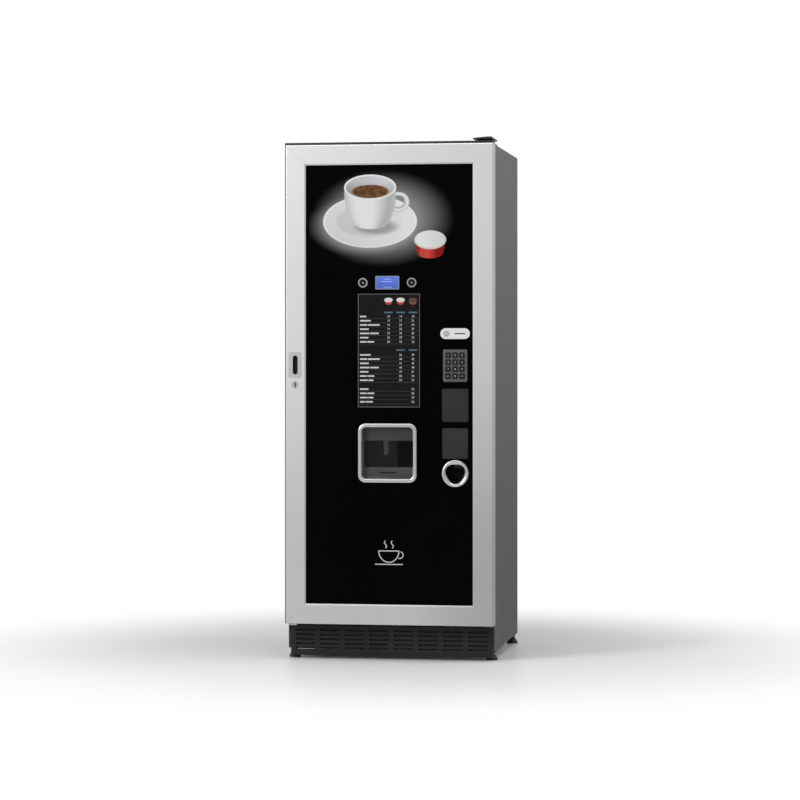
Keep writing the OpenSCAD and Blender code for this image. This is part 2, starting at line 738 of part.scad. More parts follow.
// Round hose swept along a route whose corners are eased into curves
hose_sides = 10;
bend_size = 28;
function unit(v) = v / norm(v);
function bend(a, b, c) =
    let (r = min(bend_size, norm(a - b) / 2.1, norm(c - b) / 2.1),
        p = b + unit(a - b) * r, q = b + unit(c - b) * r)
    [for (t = [0:0.2:1]) (1 - t) * (1 - t) * p + 2 * t * (1 - t) * b + t * t * q];
function route(p) = concat([p[0]],
    [for (i = [1:len(p) - 2]) each bend(p[i - 1], p[i], p[i + 1])], [p[len(p) - 1]]);
function heading(q, i) = unit(q[min(i + 1, len(q) - 1)] - q[max(i - 1, 0)]);
function across(q, i) = i == 0
    ? unit(cross(heading(q, 0), abs(heading(q, 0)[0]) < 0.9 ? [1, 0, 0] : [0, 1, 0]))
    : let (u = across(q, i - 1), t = heading(q, i)) unit(u - (u * t) * t);
function ring(q, i) = let (t = heading(q, i), u = across(q, i), v = cross(t, u))
    [for (k = [0:hose_sides - 1]) let (a = k * 360 / hose_sides)
        q[i] + hose_r * (cos(a) * u + sin(a) * v)];

module hose(points) {
    q = route(points);
    n = hose_sides;
    last = (len(q) - 1) * n;
    polyhedron(
        points = [for (i = [0:len(q) - 1]) each ring(q, i)],
        faces = concat(
            [[for (k = [0:n - 1]) k]],
            [[for (k = [n - 1:-1:0]) last + k]],
            [for (i = [0:len(q) - 2], k = [0:n - 1]) let (m = (k + 1) % n)
                [i * n + k, (i + 1) * n + k, (i + 1) * n + m, i * n + m]]
        )
    );
}

module hoses() {
    color([0.9, 0.9, 0.88]) {
        hose([
            [water_x, inlet_end, water_z], [water_x, riser_y, water_z],
            [riser_x, riser_y, water_z + 60], [riser_x, riser_y, cab_top - 30],
            [tank_x + tank_w - 40, tank_rear - 40, cab_top - 30],
            [tank_x + tank_w - 40, tank_rear - 40, cab_top - 48]
        ]);
        hose([
            [tank_x + 40, tank_y + 50, top_zone + 94], [tank_x + 40, tank_y + 50, top_zone - 60],
            [pump_x, pump_y - 110, top_zone - 120], [pump_x, pump_y - 110, shelf_z + 70],
            [pump_x, pump_y - 95, shelf_z + 40], [pump_x, pump_y - 68, shelf_z + 40]
        ]);
        hose([
            [pump_x, pump_y + 62, shelf_z + 40], [pump_x, pump_y + 76, shelf_z + 40],
            [pump_x, pump_y + 76, boiler_top + 50], [boiler_x - 44, boiler_y, boiler_top + 50],
            [boiler_x - 44, boiler_y, boiler_top + 16]
        ]);
        hose([
            [boiler_x + 44, boiler_y, boiler_top + 16], [boiler_x + 44, boiler_y, boiler_top + 32],
            [brew_x + 50, brew_y - 30, boiler_top + 32], [brew_x + 50, brew_y - 30, shelf_z + brew_h]
        ]);
        hose([
            [brew_x, brew_y - 20, shelf_z + 40], [brew_x, brew_y - 20, shelf_z + 26],
            [dock_x(-1), brew_y - 140, shelf_z + 24], [dock_x(-1), dock_y, shelf_z + 16],
            [dock_x(-1), dock_y, dock_z]
        ]);
        for (i = [0:canisters_n - 1]) hose([
            [can_x(i), dock_y, bowl_z - 30], [can_x(i), dock_y, bowl_z - 44],
            [dock_x(i), dock_y, bowl_z - 110], [dock_x(i), dock_y, dock_z]
        ]);
    }
}

// ---------- Door ----------

mitre_gap = 0.1;
lip_depth = 12;

// One length of the silver frame: face, inner bevel and outer return, mitred at both ends
module rail(len, depth) {
    edge_r = 4;
    wall = 3;
    intersection() {
        rotate([0, 90, 0]) linear_extrude(len) {
            polygon([
                [edge_r, 0], [frame_w - 5, 0], [frame_w, 3.2], [frame_w, frame_t],
                [wall, frame_t], [wall, depth], [0, depth], [0, edge_r]
            ]);
            translate([edge_r, edge_r]) circle(edge_r);
        }
        translate([0, depth, 0]) rotate([90, 0, 0]) linear_extrude(depth) polygon([
            [mitre_gap, 0], [len - mitre_gap, 0],
            [len - frame_w - mitre_gap, -frame_w], [frame_w + mitre_gap, -frame_w]
        ]);
    }
}

grip_w = 46;
grip_h = 90;
lock_r = 9.5;
module door_frame() {
    w = frame_r - frame_l;
    h = frame_top - frame_bot;
    color([0.78, 0.78, 0.77]) {
        translate([frame_l, front_y, frame_top]) rail(w, lip_depth);
        translate([frame_r, front_y, frame_top]) rotate([0, 90, 0]) rail(h, door_t);
        translate([frame_r, front_y, frame_bot]) rotate([0, 180, 0]) rail(w, lip_depth);
        difference() {
            translate([frame_l, front_y, frame_bot]) rotate([0, 270, 0]) rail(h, lip_depth);
            slab(grip_x, grip_z, grip_w + 2 * fit, grip_h + 2 * fit, 8 + fit, front_y - eps, rim_front);
            rod_y(grip_x, lock_z, lock_r + 3.5 + fit, front_y - eps, rim_front);
        }
    }
}

pan_wall = 3;
pan_r = frame_r - 3 - fit;
comp_l = hatch_x - hatch_w / 2 - 12.5;
comp_r = hatch_x + hatch_w / 2 + 12.5;
comp_b = hatch_z - hatch_h / 2 - 17;
comp_t = hatch_z + hatch_h / 2 + 27.5;
gear_l = ctrl_x - 60;
gear_r = ctrl_x + 60;
gear_t = coin_z + 17;
gear_b = ring_z - 178;

// Door pan behind the frame: rim, walls, rear sheet with its openings and two hinge blocks
module door_pan() {
    color([0.2, 0.2, 0.2]) difference() {
        union() {
            block([-half_w, rim_front, door_bot + 1], [pan_r, rim_front + sheet, body_h]);
            block([-half_w, rim_front + eps, door_bot + 1], [pan_r, door_rear, body_h]);
            block([frame_l + 3 + fit, pan_flange_y, frame_bot + 3 + fit],
                [frame_r - 3 - fit, rim_front + eps, frame_top - 3 - fit]);
        }
        difference() {
            block([-half_w + pan_wall, rim_front + sheet, door_bot + 1 + pan_wall],
                [pan_r - pan_wall, door_rear - sheet, body_h - pan_wall]);
            for (z = [door_bot, body_h - 36])
                block([hinge_x - 12, hinge_y - 12, z], [half_w, door_rear, z + 36]);
        }
        block([win_l + 4, pan_flange_y - eps, win_b + 4], [win_r - 4, rim_front + sheet + eps, win_t - 4]);
        rod_z(hinge_x, hinge_y, pin_r + run, door_bot - 5, door_bot + 40);
        rod_z(hinge_x, hinge_y, pin_r + run, body_h - 40, body_h + 5);
        block([comp_l - fit, door_rear - 3, comp_b - fit], [comp_r + fit, door_rear + eps, comp_t + fit]);
        block([gear_l - fit, door_rear - 3, gear_b - fit], [gear_r + fit, door_rear + eps, gear_t + fit]);
        slab(grip_x, grip_z, grip_w + 2 * fit, grip_h + 2 * fit, 8, pan_flange_y - eps, rim_front + 3);
        rod_y(grip_x, lock_z, lock_r + 3.5 + fit, pan_flange_y - eps, door_rear + eps);
    }
}

// Black glass front with openings for everything set through it
module door_glass() {
    c = fit;
    color([0.03, 0.03, 0.03]) difference() {
        block([win_l - 5, glass_y, win_b - 5], [win_r + 5, glass_y + glass_t, win_t + 5]);
        slab(hatch_x, hatch_z, hatch_w + 2 * hatch_sleeve + 2 * c, hatch_h + 2 * hatch_sleeve + 2 * c,
            16, glass_y - eps, pan_flange_y + eps);
        rod_y(ctrl_x, ring_z, coin_ring_r - 8 + c, glass_y - eps, pan_flange_y + eps);
        slab(ctrl_x, keypad_z, keypad_w - 8 + 2 * c, keypad_h - 8 + 2 * c, 4, glass_y - eps, pan_flange_y + eps);
        slab(ctrl_x, coin_z, 92 + 2 * c, 29 + 2 * c, 14, glass_y - eps, pan_flange_y + eps);
        slab(hatch_x, display_z, 78 + 2 * c, 41 + 2 * c, 2, glass_y - eps, pan_flange_y + eps);
        for (s = [-1, 1])
            rod_y(hatch_x + s * button_x, display_z, button_r + 2.5 + c, glass_y - eps, pan_flange_y + eps);
    }
}

module menu_card() {
    color([0.3, 0.31, 0.33]) slab(2, 1094, 223, 402, 2, glass_y - 0.8, glass_y);
}

// Display module: a thin frame round a recessed screen
module display() {
    color([0.2, 0.45, 0.75]) difference() {
        union() {
            slab(hatch_x, display_z, 84.7, 47.2, 2.5, glass_y - 1.6, glass_y);
            slab(hatch_x, display_z, 78, 41, 2, glass_y - eps, glass_y + 12);
        }
        slab(hatch_x, display_z, 79, 41.5, 1.5, glass_y - 3, glass_y - 0.8);
    }
}

// Ring bezels with a blind sleeve for each selection button
module button_bezels() {
    color([0.7, 0.7, 0.7]) for (s = [-1, 1]) difference() {
        x = hatch_x + s * button_x;
        union() {
            rod_y(x, display_z, button_r + 4.8, front_y + 0.5, glass_y);
            rod_y(x, display_z, button_r + 2.5, glass_y - eps, glass_y + 18);
        }
        rod_y(x, display_z, button_r + run, front_y, glass_y + 15);
    }
}

// Selection button with a shallow dish in its face
module selection_button(x) {
    y0 = front_y + 1.4;
    color([0.05, 0.05, 0.05]) difference() {
        rod_y(x, display_z, button_r, y0, glass_y + 10 + button_travel);
        translate([x, y0 - 58.8, display_z]) sphere(60);
    }
    color([0.8, 0.8, 0.8]) rod_y(x, display_z, 1.6, y0 + 0.9, y0 + 2);
}

module left_button() { selection_button(hatch_x - button_x); }
module right_button() { selection_button(hatch_x + button_x); }

// Key places: three columns from the left and four rows from the top
key_px = key_w + key_gap;
key_pz = key_w + key_gap;
key_names = ["1", "2", "3", "4", "5", "6", "7", "8", "9", "clear", "0", "enter"];
function key_place(i) =
    [ctrl_x + (i % 3 - 1) * key_px, keypad_z + (1.5 - floor(i / 3)) * key_pz];
key_front = front_y + 0.2;
key_step = glass_y + 3;
key_flange = 1;
keypad_back = glass_y + 12;

module keypad_bezel() {
    color([0.4, 0.41, 0.42]) difference() {
        union() {
            slab(ctrl_x, keypad_z, keypad_w, keypad_h, 5, front_y + 1.6, glass_y);
            slab(ctrl_x, keypad_z, keypad_w - 8, keypad_h - 8, 4, glass_y - eps, keypad_back + 3);
        }
        for (i = [0:11]) {
            p = key_place(i);
            slab(p[0], p[1], key_w + 2 * fit, key_w + 2 * fit, 3.5 + fit, front_y, key_step + eps);
            slab(p[0], p[1], key_w + 2 * (key_flange + fit), key_w + 2 * (key_flange + fit), 4.5,
                key_step, keypad_back);
        }
    }
}

// One key: a round-cornered cap with a flange behind the bezel and a plunger
module key(i) {
    p = key_place(i);
    flange_y = key_step + fit;
    color([0.12, 0.12, 0.13]) {
        slab(p[0], p[1], key_w - 1.6, key_w - 1.6, 3, key_front, key_front + 0.8);
        slab(p[0], p[1], key_w, key_w, 3.5, key_front + 0.8, flange_y + eps);
        slab(p[0], p[1], key_w + 2 * key_flange, key_w + 2 * key_flange, 4.2, flange_y, flange_y + 3);
        rod_y(p[0], p[1], 3, flange_y + 3 - eps, keypad_back - key_travel - fit);
    }
}

// Pill-shaped coin slot plate with the coin slot and the sleeve of the return button
slot_x = ctrl_x + 17;
return_x = ctrl_x - 30.5;
module coin_slot_plate() {
    color([0.75, 0.75, 0.75]) difference() {
        union() {
            slab(ctrl_x, coin_z, 104.5, 37.7, 18.8, front_y + 1, glass_y);
            slab(ctrl_x, coin_z, 92, 29, 14, glass_y - eps, glass_y + 8);
            slab(slot_x, coin_z, 46, 12, 3, glass_y - eps, glass_y + 14);
        }
        slab(slot_x, coin_z, 38, 3.6, 1.7, front_y, glass_y + 15);
        rod_y(return_x, coin_z, coin_button_r + run, front_y, glass_y + 6);
        rod_y(return_x, coin_z, coin_button_r - 3, front_y, glass_y + 15);
    }
}

module coin_return_button() {
    color([0.6, 0.6, 0.6]) {
        rod_y(return_x, coin_z, coin_button_r, front_y + 0.3, glass_y + 1.6);
        rod_y(return_x, coin_z, coin_button_r - 4, glass_y + 1, glass_y + 12);
    }
}

// Two blank cover plates below the keypad
module cover_plates() {
    color([0.28, 0.28, 0.29]) for (i = [0, 1]) {
        slab(ctrl_x, cover_z[i], cover_w[i], cover_h[i], 4, glass_y - 2.5, glass_y);
        slab(ctrl_x, cover_z[i], cover_w[i] - 12, cover_h[i] - 12, 3, glass_y - 3.5, glass_y - 2);
    }
}

// Outline of the coin return opening: a soft triangle pointing down
module pick_outline(grow) {
    r = 15 + grow;
    k = coin_ring_r / 47.3;
    hull() {
        for (s = [-1, 1]) translate([s * 17.2 * k, 16.2 * k]) circle(r, $fn = 32);
        translate([0, -16.2 * k]) circle(r, $fn = 32);
    }
}

// Dished coin return ring with a sleeve through the glass
module coin_cup_ring() {
    color([0.8, 0.8, 0.79]) difference() {
        translate([ctrl_x, glass_y + glass_t + 1, ring_z]) rotate([90, 0, 0])
            rotate_extrude() polygon([
                [0, 0], [coin_ring_r - 8, 0], [coin_ring_r - 8, glass_t + 1], [coin_ring_r, glass_t + 1],
                [coin_ring_r, glass_t + 3], [coin_ring_r - 1.5, glass_t + 5.5],
                [coin_ring_r - 3.5, glass_t + 5.8], [0, glass_t - 1.5]
            ]);
        translate([ctrl_x, glass_y + 9, ring_z]) rotate([90, 0, 0])
            linear_extrude(20) pick_outline(0);
    }
}

// Bowl behind the ring, with a finger space and a coin entry at its upper rear
module coin_bowl() {
    y0 = glass_y + glass_t + 1.01;
    color([0.1, 0.1, 0.1]) difference() {
        slab(ctrl_x, ring_z, 80, 80, 12, y0, y0 + bowl_depth);
        slab(ctrl_x, ring_z, 74, 74, 10, y0 - eps, y0 + bowl_depth - 3);
        block([ctrl_x - 18, y0 + bowl_depth - 4, ring_z + 14], [ctrl_x + 18, y0 + bowl_depth + eps, ring_z + 30]);
    }
}

// Hatch bezel: face ring, sleeve through the glass and two hinge bores for the flap
module hatch_bezel() {
    w = hatch_w + 2 * hatch_rim;
    h = hatch_h + 2 * hatch_rim - 4;
    color([0.74, 0.74, 0.73]) difference() {
        union() {
            slab(hatch_x, hatch_z, w, h, 24, front_y + 0.8, glass_y);
            slab(hatch_x, hatch_z, hatch_w + 2 * hatch_sleeve, hatch_h + 2 * hatch_sleeve, 16,
                glass_y - eps, comp_front);
        }
        slab(hatch_x, hatch_z, hatch_w, hatch_h, 14, front_y, comp_front + eps);
        rod_x(hatch_axis_y, hatch_axis_z, hatch_pin_r + run, hatch_x - hatch_w / 2 - 5, hatch_x + hatch_w / 2 + 5);
    }
}

// Smoked flap hung on two pins near its upper edge, with a finger lip at the bottom
module hatch_flap() {
    w = hatch_w - 5;
    h = hatch_h - 7;
    y0 = hatch_axis_y - flap_t / 2;
    top = hatch_axis_z + 5;
    color([0.25, 0.27, 0.28, 0.5]) {
        slab(hatch_x, top - h / 2, w, h, 12, y0, y0 + flap_t);
        slab(hatch_x, top - h + 12, w - 60, 8, 3.5, front_y + 0.5, y0 + 1);
        rod_x(hatch_axis_y, hatch_axis_z, hatch_pin_r, hatch_x - hatch_w / 2 - 4, hatch_x + hatch_w / 2 + 4);
    }
}

// Moulded cup compartment open to the hatch, with roof openings for cups and drink
module cup_compartment() {
    color([0.5, 0.5, 0.51]) difference() {
        union() {
            block([comp_l, comp_front, comp_b], [comp_r, comp_rear, comp_t]);
            block([comp_l - 14, door_rear + 0.01, comp_b - 14], [comp_r + 14, door_rear + 2.5, comp_t + 14]);
        }
        block([comp_l + comp_wall, comp_front + comp_wall, comp_b + comp_wall],
            [comp_r - comp_wall, comp_rear - comp_wall, comp_t - comp_wall]);
        slab(hatch_x, hatch_z, hatch_w, hatch_h, 14, comp_front - eps, comp_front + 3);
        block([chute_end_x - 42, dock_y - 26, comp_t - 4], [chute_end_x + 42, comp_rear - 3, comp_t + eps]);
        block([hatch_x + 16, dock_y - 12, comp_t - 4], [comp_r - 6, dock_y + 12, comp_t + eps]);
    }
}

// Drip tray with a raised front wall and a slotted grid for the cup
module cup_grid() {
    x0 = comp_l + comp_wall + fit;
    x1 = comp_r - comp_wall - fit;
    y0 = comp_front + comp_wall + fit;
    y1 = comp_rear - comp_wall - fit;
    z0 = comp_b + comp_wall + 0.01;
    color([0.3, 0.3, 0.31]) difference() {
        union() {
            block([x0, y0, z0], [x1, y1, z0 + 18]);
            block([x0, y0, z0], [x1, y0 + 4, hatch_z - 50]);
        }
        block([x0 + 3, y0 + 7, z0 + 3], [x1 - 3, y1 - 3, z0 + 14]);
        for (i = [-5:5])
            block([hatch_x + i * 15 - 4, y0 + 12, z0 + 10], [hatch_x + i * 15 + 4, y1 - 8, z0 + 19]);
        slab(hatch_x - 2, hatch_z - 69.5, 59, 5, 2.4, y0 - eps, y0 + 5);
    }
}

// Spout block: funnel on the roof, neck, housing across the front and a tapered nozzle
nozzle_x = hatch_x - 8.5;
module spouts() {
    y0 = comp_front + comp_wall + 3;
    z1 = hatch_z + 89;
    x0 = hatch_x + 20;
    x1 = comp_r - 10;
    color([0.55, 0.55, 0.56]) difference() {
        union() {
            block([hatch_x + 12, dock_y - 16, comp_t + 0.01], [comp_r - 2, dock_y + 16, comp_t + 16]);
            block([x0, dock_y - 10, hatch_z + 60], [x1, dock_y + 10, comp_t + 1]);
            block([x0, y0 + 20, hatch_z + 58], [x1, dock_y + 10, hatch_z + 84]);
            block([comp_l + 13, y0, hatch_z + 43.5], [comp_r - 13, y0 + 40, z1]);
            translate([nozzle_x, y0 + 20, hatch_z - 7.5]) cylinder(r1 = 9, r2 = 15, h = 52);
        }
        block([hatch_x + 15, dock_y - 13, comp_t + 3], [comp_r - 5, dock_y + 13, comp_t + 17]);
        rod_z(nozzle_x, y0 + 20, 5, hatch_z - 9, hatch_z + 20);
    }
}

// Recessed grip pocket with its pivot bores, and the collar of the lock
grip_d = 34;
pivot_x = grip_x + 14;
pivot_y = front_y + 25;
grip_in_z = grip_h / 2 - 5;
module handle_plate() {
    y0 = front_y + 0.3;
    color([0.76, 0.76, 0.75]) {
        difference() {
            slab(grip_x, grip_z, grip_w, grip_h, 8, y0, front_y + grip_d);
            slab(grip_x, grip_z, grip_w - 5, 2 * grip_in_z, 6, y0 + 3, front_y + grip_d - 3);
            slab(grip_x, grip_z, 18, 67, 8.9, y0 - eps, y0 + 5);
            rod_z(pivot_x, pivot_y, 2.5 + run, grip_z - grip_h / 2 + 1.5, grip_z + grip_h / 2 - 1.5);
        }
        difference() {
            rod_y(grip_x, lock_z, lock_r + 3.5, y0, door_rear - 4);
            rod_y(grip_x, lock_z, lock_r + run, y0 - eps, door_rear - 8);
            rod_y(grip_x, lock_z, 5 + run, door_rear - 10, door_rear);
        }
    }
}

// Latch paddle behind the finger slot, on a vertical pin
module latch_handle() {
    h = 2 * grip_in_z - 4;
    color([0.15, 0.15, 0.15]) {
        rod_z(pivot_x, pivot_y, 2.5, grip_z - grip_h / 2 + 2, grip_z + grip_h / 2 - 2);
        rod_z(pivot_x, pivot_y, 4, grip_z - h / 2, grip_z + h / 2);
        block([grip_x - 17, pivot_y - 2, grip_z - h / 2], [pivot_x, pivot_y + 1.5, grip_z + h / 2]);
    }
}

// Key-operated lock barrel with the cam that catches behind the cabinet's front return
module lock_cylinder() {
    cam_y = cab_front + sheet + 2;
    color([0.7, 0.7, 0.7]) difference() {
        union() {
            rod_y(grip_x, lock_z, lock_r, front_y + 0.5, door_rear - 8.3);
            rod_y(grip_x, lock_z, 5, door_rear - 9, cam_y + 3);
            block([grip_x - 6, cam_y, lock_z - 29], [grip_x + 6, cam_y + 3, lock_z + 7]);
        }
        slab(grip_x, lock_z, 2, 9, 0.9, front_y, front_y + 9);
    }
}

// Coin changer on the door's rear sheet: mechanism, inlet, chute and the cash box shell
box_t = gear_b + 118;
gear_y0 = door_rear - 24;
gear_y1 = door_rear + 90;
module coin_changer() {
    w = sheet + 0.5;
    color([0.3, 0.3, 0.32]) difference() {
        union() {
            block([gear_l, gear_y0, ring_z + 53], [gear_r, gear_y1, coin_z - 25]);
            block([slot_x - 23, glass_y + 14.3, coin_z - 26], [slot_x + 23, gear_y1, gear_t]);
            block([ctrl_x - 25, door_rear + 8, box_t - 1], [ctrl_x + 25, door_rear + 70, ring_z + 54]);
            block([gear_l, gear_y0, gear_b], [gear_r, gear_y1, box_t]);
            for (s = [gear_l - 14, gear_r - 1])
                block([s, door_rear + 0.01, gear_b], [s + 15, door_rear + 2.5, gear_t]);
            block([gear_l, door_rear + 0.01, gear_b], [gear_l + 3, gear_y1, coin_z - 25]);
        }
        block([gear_l + w, gear_y0 + w, gear_b + w], [gear_r - w, gear_y1 + eps, box_t - w]);
        block([ctrl_x - 20, door_rear + 12, box_t - 5], [ctrl_x + 20, door_rear + 60, ring_z + 60]);
        slab(slot_x, coin_z, 38, 4, 1.9, glass_y + 10, gear_y0 + 30);
        for (i = [0:3])
            block([gear_l + 12 + i * 26, gear_y1 - 4, ring_z + 90], [gear_l + 30 + i * 26, gear_y1 + eps, coin_z - 60]);
    }
}

// Open-topped cash box that slides out to the rear, with a pull tab
module cash_box() {
    w = sheet + 0.5 + fit;
    y0 = gear_y0 + 3;
    color([0.55, 0.5, 0.3]) {
        difference() {
            block([gear_l + w, y0, gear_b + w], [gear_r - w, gear_y1 - 1, box_t - w - 4]);
            block([gear_l + w + 2, y0 + 2, gear_b + w + 2], [gear_r - w - 2, gear_y1 - 3, box_t]);
        }
        block([ctrl_x - 16, gear_y1 - 1.01, gear_b + 70], [ctrl_x + 16, gear_y1 + 8, gear_b + 74]);
    }
}

// ---------- Pieces ----------

left_panel();
right_panel();
rear_panel();
top_panel();
base_tray();
base_grille();
door_hinges();
door_rest();
equipment_shelf();
boiler();
water_pump();
water_tank();
canisters();
mixer_bowls();
capsule_magazine();
brew_unit();
cup_dispenser();
cup_turret();
waste_bins();
control_box();
fan_rotor();
hoses();
inlet_valve();
levelling_feet();
door_frame();
door_pan();
door_glass();
menu_card();
display();
button_bezels();
keypad_bezel();
coin_slot_plate();
cover_plates();
coin_cup_ring();
coin_bowl();
hatch_bezel();
cup_compartment();
cup_grid();
spouts();
handle_plate();
coin_changer();
cash_box();
hatch_flap();
left_button();
right_button();
coin_return_button();
latch_handle();
lock_cylinder();
for (i = [0:11])
    key(i);
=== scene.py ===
import math

import bmesh
import bpy
import numpy as np
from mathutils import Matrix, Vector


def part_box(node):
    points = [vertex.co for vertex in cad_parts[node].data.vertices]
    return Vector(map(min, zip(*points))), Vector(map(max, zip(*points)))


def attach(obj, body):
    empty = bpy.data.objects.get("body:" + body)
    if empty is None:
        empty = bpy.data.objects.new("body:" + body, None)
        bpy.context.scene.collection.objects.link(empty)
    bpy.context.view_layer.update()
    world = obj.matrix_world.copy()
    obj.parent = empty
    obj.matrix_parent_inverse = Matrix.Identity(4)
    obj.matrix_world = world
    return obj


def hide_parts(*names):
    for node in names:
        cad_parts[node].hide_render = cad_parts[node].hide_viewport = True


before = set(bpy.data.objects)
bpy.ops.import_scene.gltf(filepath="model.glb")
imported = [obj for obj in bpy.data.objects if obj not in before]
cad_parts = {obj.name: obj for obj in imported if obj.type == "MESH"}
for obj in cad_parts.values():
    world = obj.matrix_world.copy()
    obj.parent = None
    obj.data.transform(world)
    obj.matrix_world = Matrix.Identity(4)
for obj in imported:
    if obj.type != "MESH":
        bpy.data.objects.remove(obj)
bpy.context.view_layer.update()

# ---- Studio ----
# A pale floor, a pale surround and three soft lamps, with the camera standing about ten metres away
# at chest height, a little to the right of the machine.
scene = bpy.context.scene
scene.view_settings.view_transform = "Standard"

camera_data = bpy.data.cameras.new("studio_camera")
camera_data.lens = 123.5
camera_data.sensor_width = 36.0
camera_data.shift_x = -0.0059
camera_data.shift_y = -0.0441
camera_data.clip_end = 60.0
camera = bpy.data.objects.new("studio_camera", camera_data)
camera.location = (1.604, -9.894, 1.044)
camera.rotation_euler = (math.radians(90.0), 0.0, math.radians(9.21))
scene.collection.objects.link(camera)
scene.camera = camera

world = bpy.data.worlds.new("studio_surround")
world.use_nodes = True
surround = world.node_tree
seen = surround.nodes.new("ShaderNodeLightPath")
strength = surround.nodes.new("ShaderNodeMapRange")
strength.inputs["To Min"].default_value = 0.42
strength.inputs["To Max"].default_value = 1.0
surround.links.new(seen.outputs["Is Camera Ray"], strength.inputs["Value"])
surround.nodes["Background"].inputs["Color"].default_value = (1.0, 1.0, 1.0, 1.0)
surround.links.new(strength.outputs["Result"], surround.nodes["Background"].inputs["Strength"])
scene.world = world


def soft_lamp(name, place, aim, size, power):
    """A square area lamp of the given size in metres at place, turned to look at aim."""
    data = bpy.data.lights.new(name, "AREA")
    data.shape = "RECTANGLE"
    data.size, data.size_y = size
    data.energy = power
    lamp = bpy.data.objects.new(name, data)
    lamp.location = place
    look = np.array(aim, float) - np.array(place, float)
    yaw = math.atan2(-look[0], look[1])
    pitch = math.atan2(look[2], math.hypot(look[0], look[1]))
    lamp.rotation_euler = (math.pi / 2 + pitch, 0.0, yaw)
    scene.collection.objects.link(lamp)


soft_lamp("lamp_left", (-3.4, -4.4, 3.0), (-0.4, -0.36, 1.25), (1.6, 2.2), 190.0)
soft_lamp("lamp_top", (0.2, -1.2, 4.6), (0.1, 0.0, 0.0), (3.6, 3.0), 95.0)
soft_lamp("lamp_right", (3.4, 0.3, 3.0), (0.37, 0.0, 1.7), (1.2, 1.2), 34.0)

floor_edge = 30.0
floor_mesh = bpy.data.meshes.new("studio_floor")
floor_mesh.from_pydata(
    [(x * floor_edge, y * floor_edge, 0) for x, y in ((-1, -1), (1, -1), (1, 1), (-1, 1))],
    [], [(0, 1, 2, 3)],
)
studio_floor = bpy.data.objects.new("studio_floor", floor_mesh)
scene.collection.objects.link(studio_floor)


class Wire:
    """One output socket of a material's nodes. Arithmetic on a wire adds Math nodes."""

    def __init__(self, tree, out):
        self.tree, self.out = tree, out

    def node(self, kind, settings=None, inputs=None, out=0):
        """Adds a node of any kind, sets it up, fills or links its inputs and returns one output."""
        made = self.tree.nodes.new("ShaderNode" + kind)
        for key, value in (settings or {}).items():
            if key == "stops":
                ramp = made.color_ramp.elements
                while len(ramp) < len(value):
                    ramp.new(0.5)
                for stop, (place, shade) in zip(ramp, value):
                    stop.position, stop.color = place, shade
            else:
                setattr(made, key, value)
        for key, value in (inputs or {}).items():
            if isinstance(value, Wire):
                self.tree.links.new(value.out, made.inputs[key])
            else:
                made.inputs[key].default_value = value
        return Wire(self.tree, made.outputs[out])

    def sum(self, operation, a, b=0.0):
        return self.node("Math", {"operation": operation}, {0: a, 1: b})

    def __add__(self, other): return self.sum("ADD", self, other)
    def __sub__(self, other): return self.sum("SUBTRACT", self, other)
    def __rsub__(self, other): return self.sum("SUBTRACT", other, self)
    def __mul__(self, other): return self.sum("MULTIPLY", self, other)
    def __truediv__(self, other): return self.sum("DIVIDE", self, other)
    def __pow__(self, other): return self.sum("POWER", self, other)
    def __abs__(self): return self.sum("ABSOLUTE", self)
    def low(self, other): return self.sum("MINIMUM", self, other)
    def high(self, other): return self.sum("MAXIMUM", self, other)
    def root(self): return self.sum("SQRT", self)
    def part(self, which): return self.node("SeparateXYZ", None, {0: self}, which)

    def fade(self, start, end):
        """0 below start and 1 above end, with a smooth S between; start may be above end."""
        flip = start > end
        ends = {0: self, 1: end if flip else start, 2: start if flip else end,
                3: 1.0 if flip else 0.0, 4: 0.0 if flip else 1.0}
        return self.node("MapRange", {"interpolation_type": "SMOOTHSTEP"}, ends)

    def between(self, dark, light):
        """The colour that lies this far from dark to light."""
        return self.node("Mix", {"data_type": "RGBA"}, {0: self, 6: dark, 7: light}, 2)

    def speckle(self, size, detail=2.0, rough=0.5, stretch=None):
        """Noise from 0 to 1 on object places, with grains about size metres across."""
        place = self
        if stretch:
            place = self.node("Mapping", None, {0: self, 3: stretch})
        return self.node("TexNoise", None, {0: place, 2: 1.0 / size, 3: detail, 4: rough})


def rgb(value, tint=(1.0, 1.0, 1.0)):
    """A grey level from 0 to 1 with an optional tint, as a shader colour."""
    return (value * tint[0], value * tint[1], value * tint[2], 1.0)


def new_finish(name, roughness, metallic=0.0, coat=0.0, ior=1.5):
    """An empty material; returns it with its shader and a wire of object places."""
    made = bpy.data.materials.new(name)
    made.use_nodes = True
    tree = made.node_tree
    shader = tree.nodes["Principled BSDF"]
    shader.inputs["Roughness"].default_value = roughness
    shader.inputs["Metallic"].default_value = metallic
    shader.inputs["Coat Weight"].default_value = coat
    shader.inputs["Coat Roughness"].default_value = 0.08
    shader.inputs["IOR"].default_value = ior
    place = Wire(tree, tree.nodes.new("ShaderNodeTexCoord").outputs["Object"])
    return made, shader, place


def feed(shader, socket, wire):
    """Links a wire to one of a shader's sockets."""
    wire.tree.links.new(wire.out, shader.inputs[socket])


def dents(shader, place, height, depth):
    """Feeds the shader's normal with a bump of the given height wire and depth in metres."""
    feed(shader, "Normal", place.node("Bump", None, {"Strength": 1.0, "Distance": depth, "Height": height}))


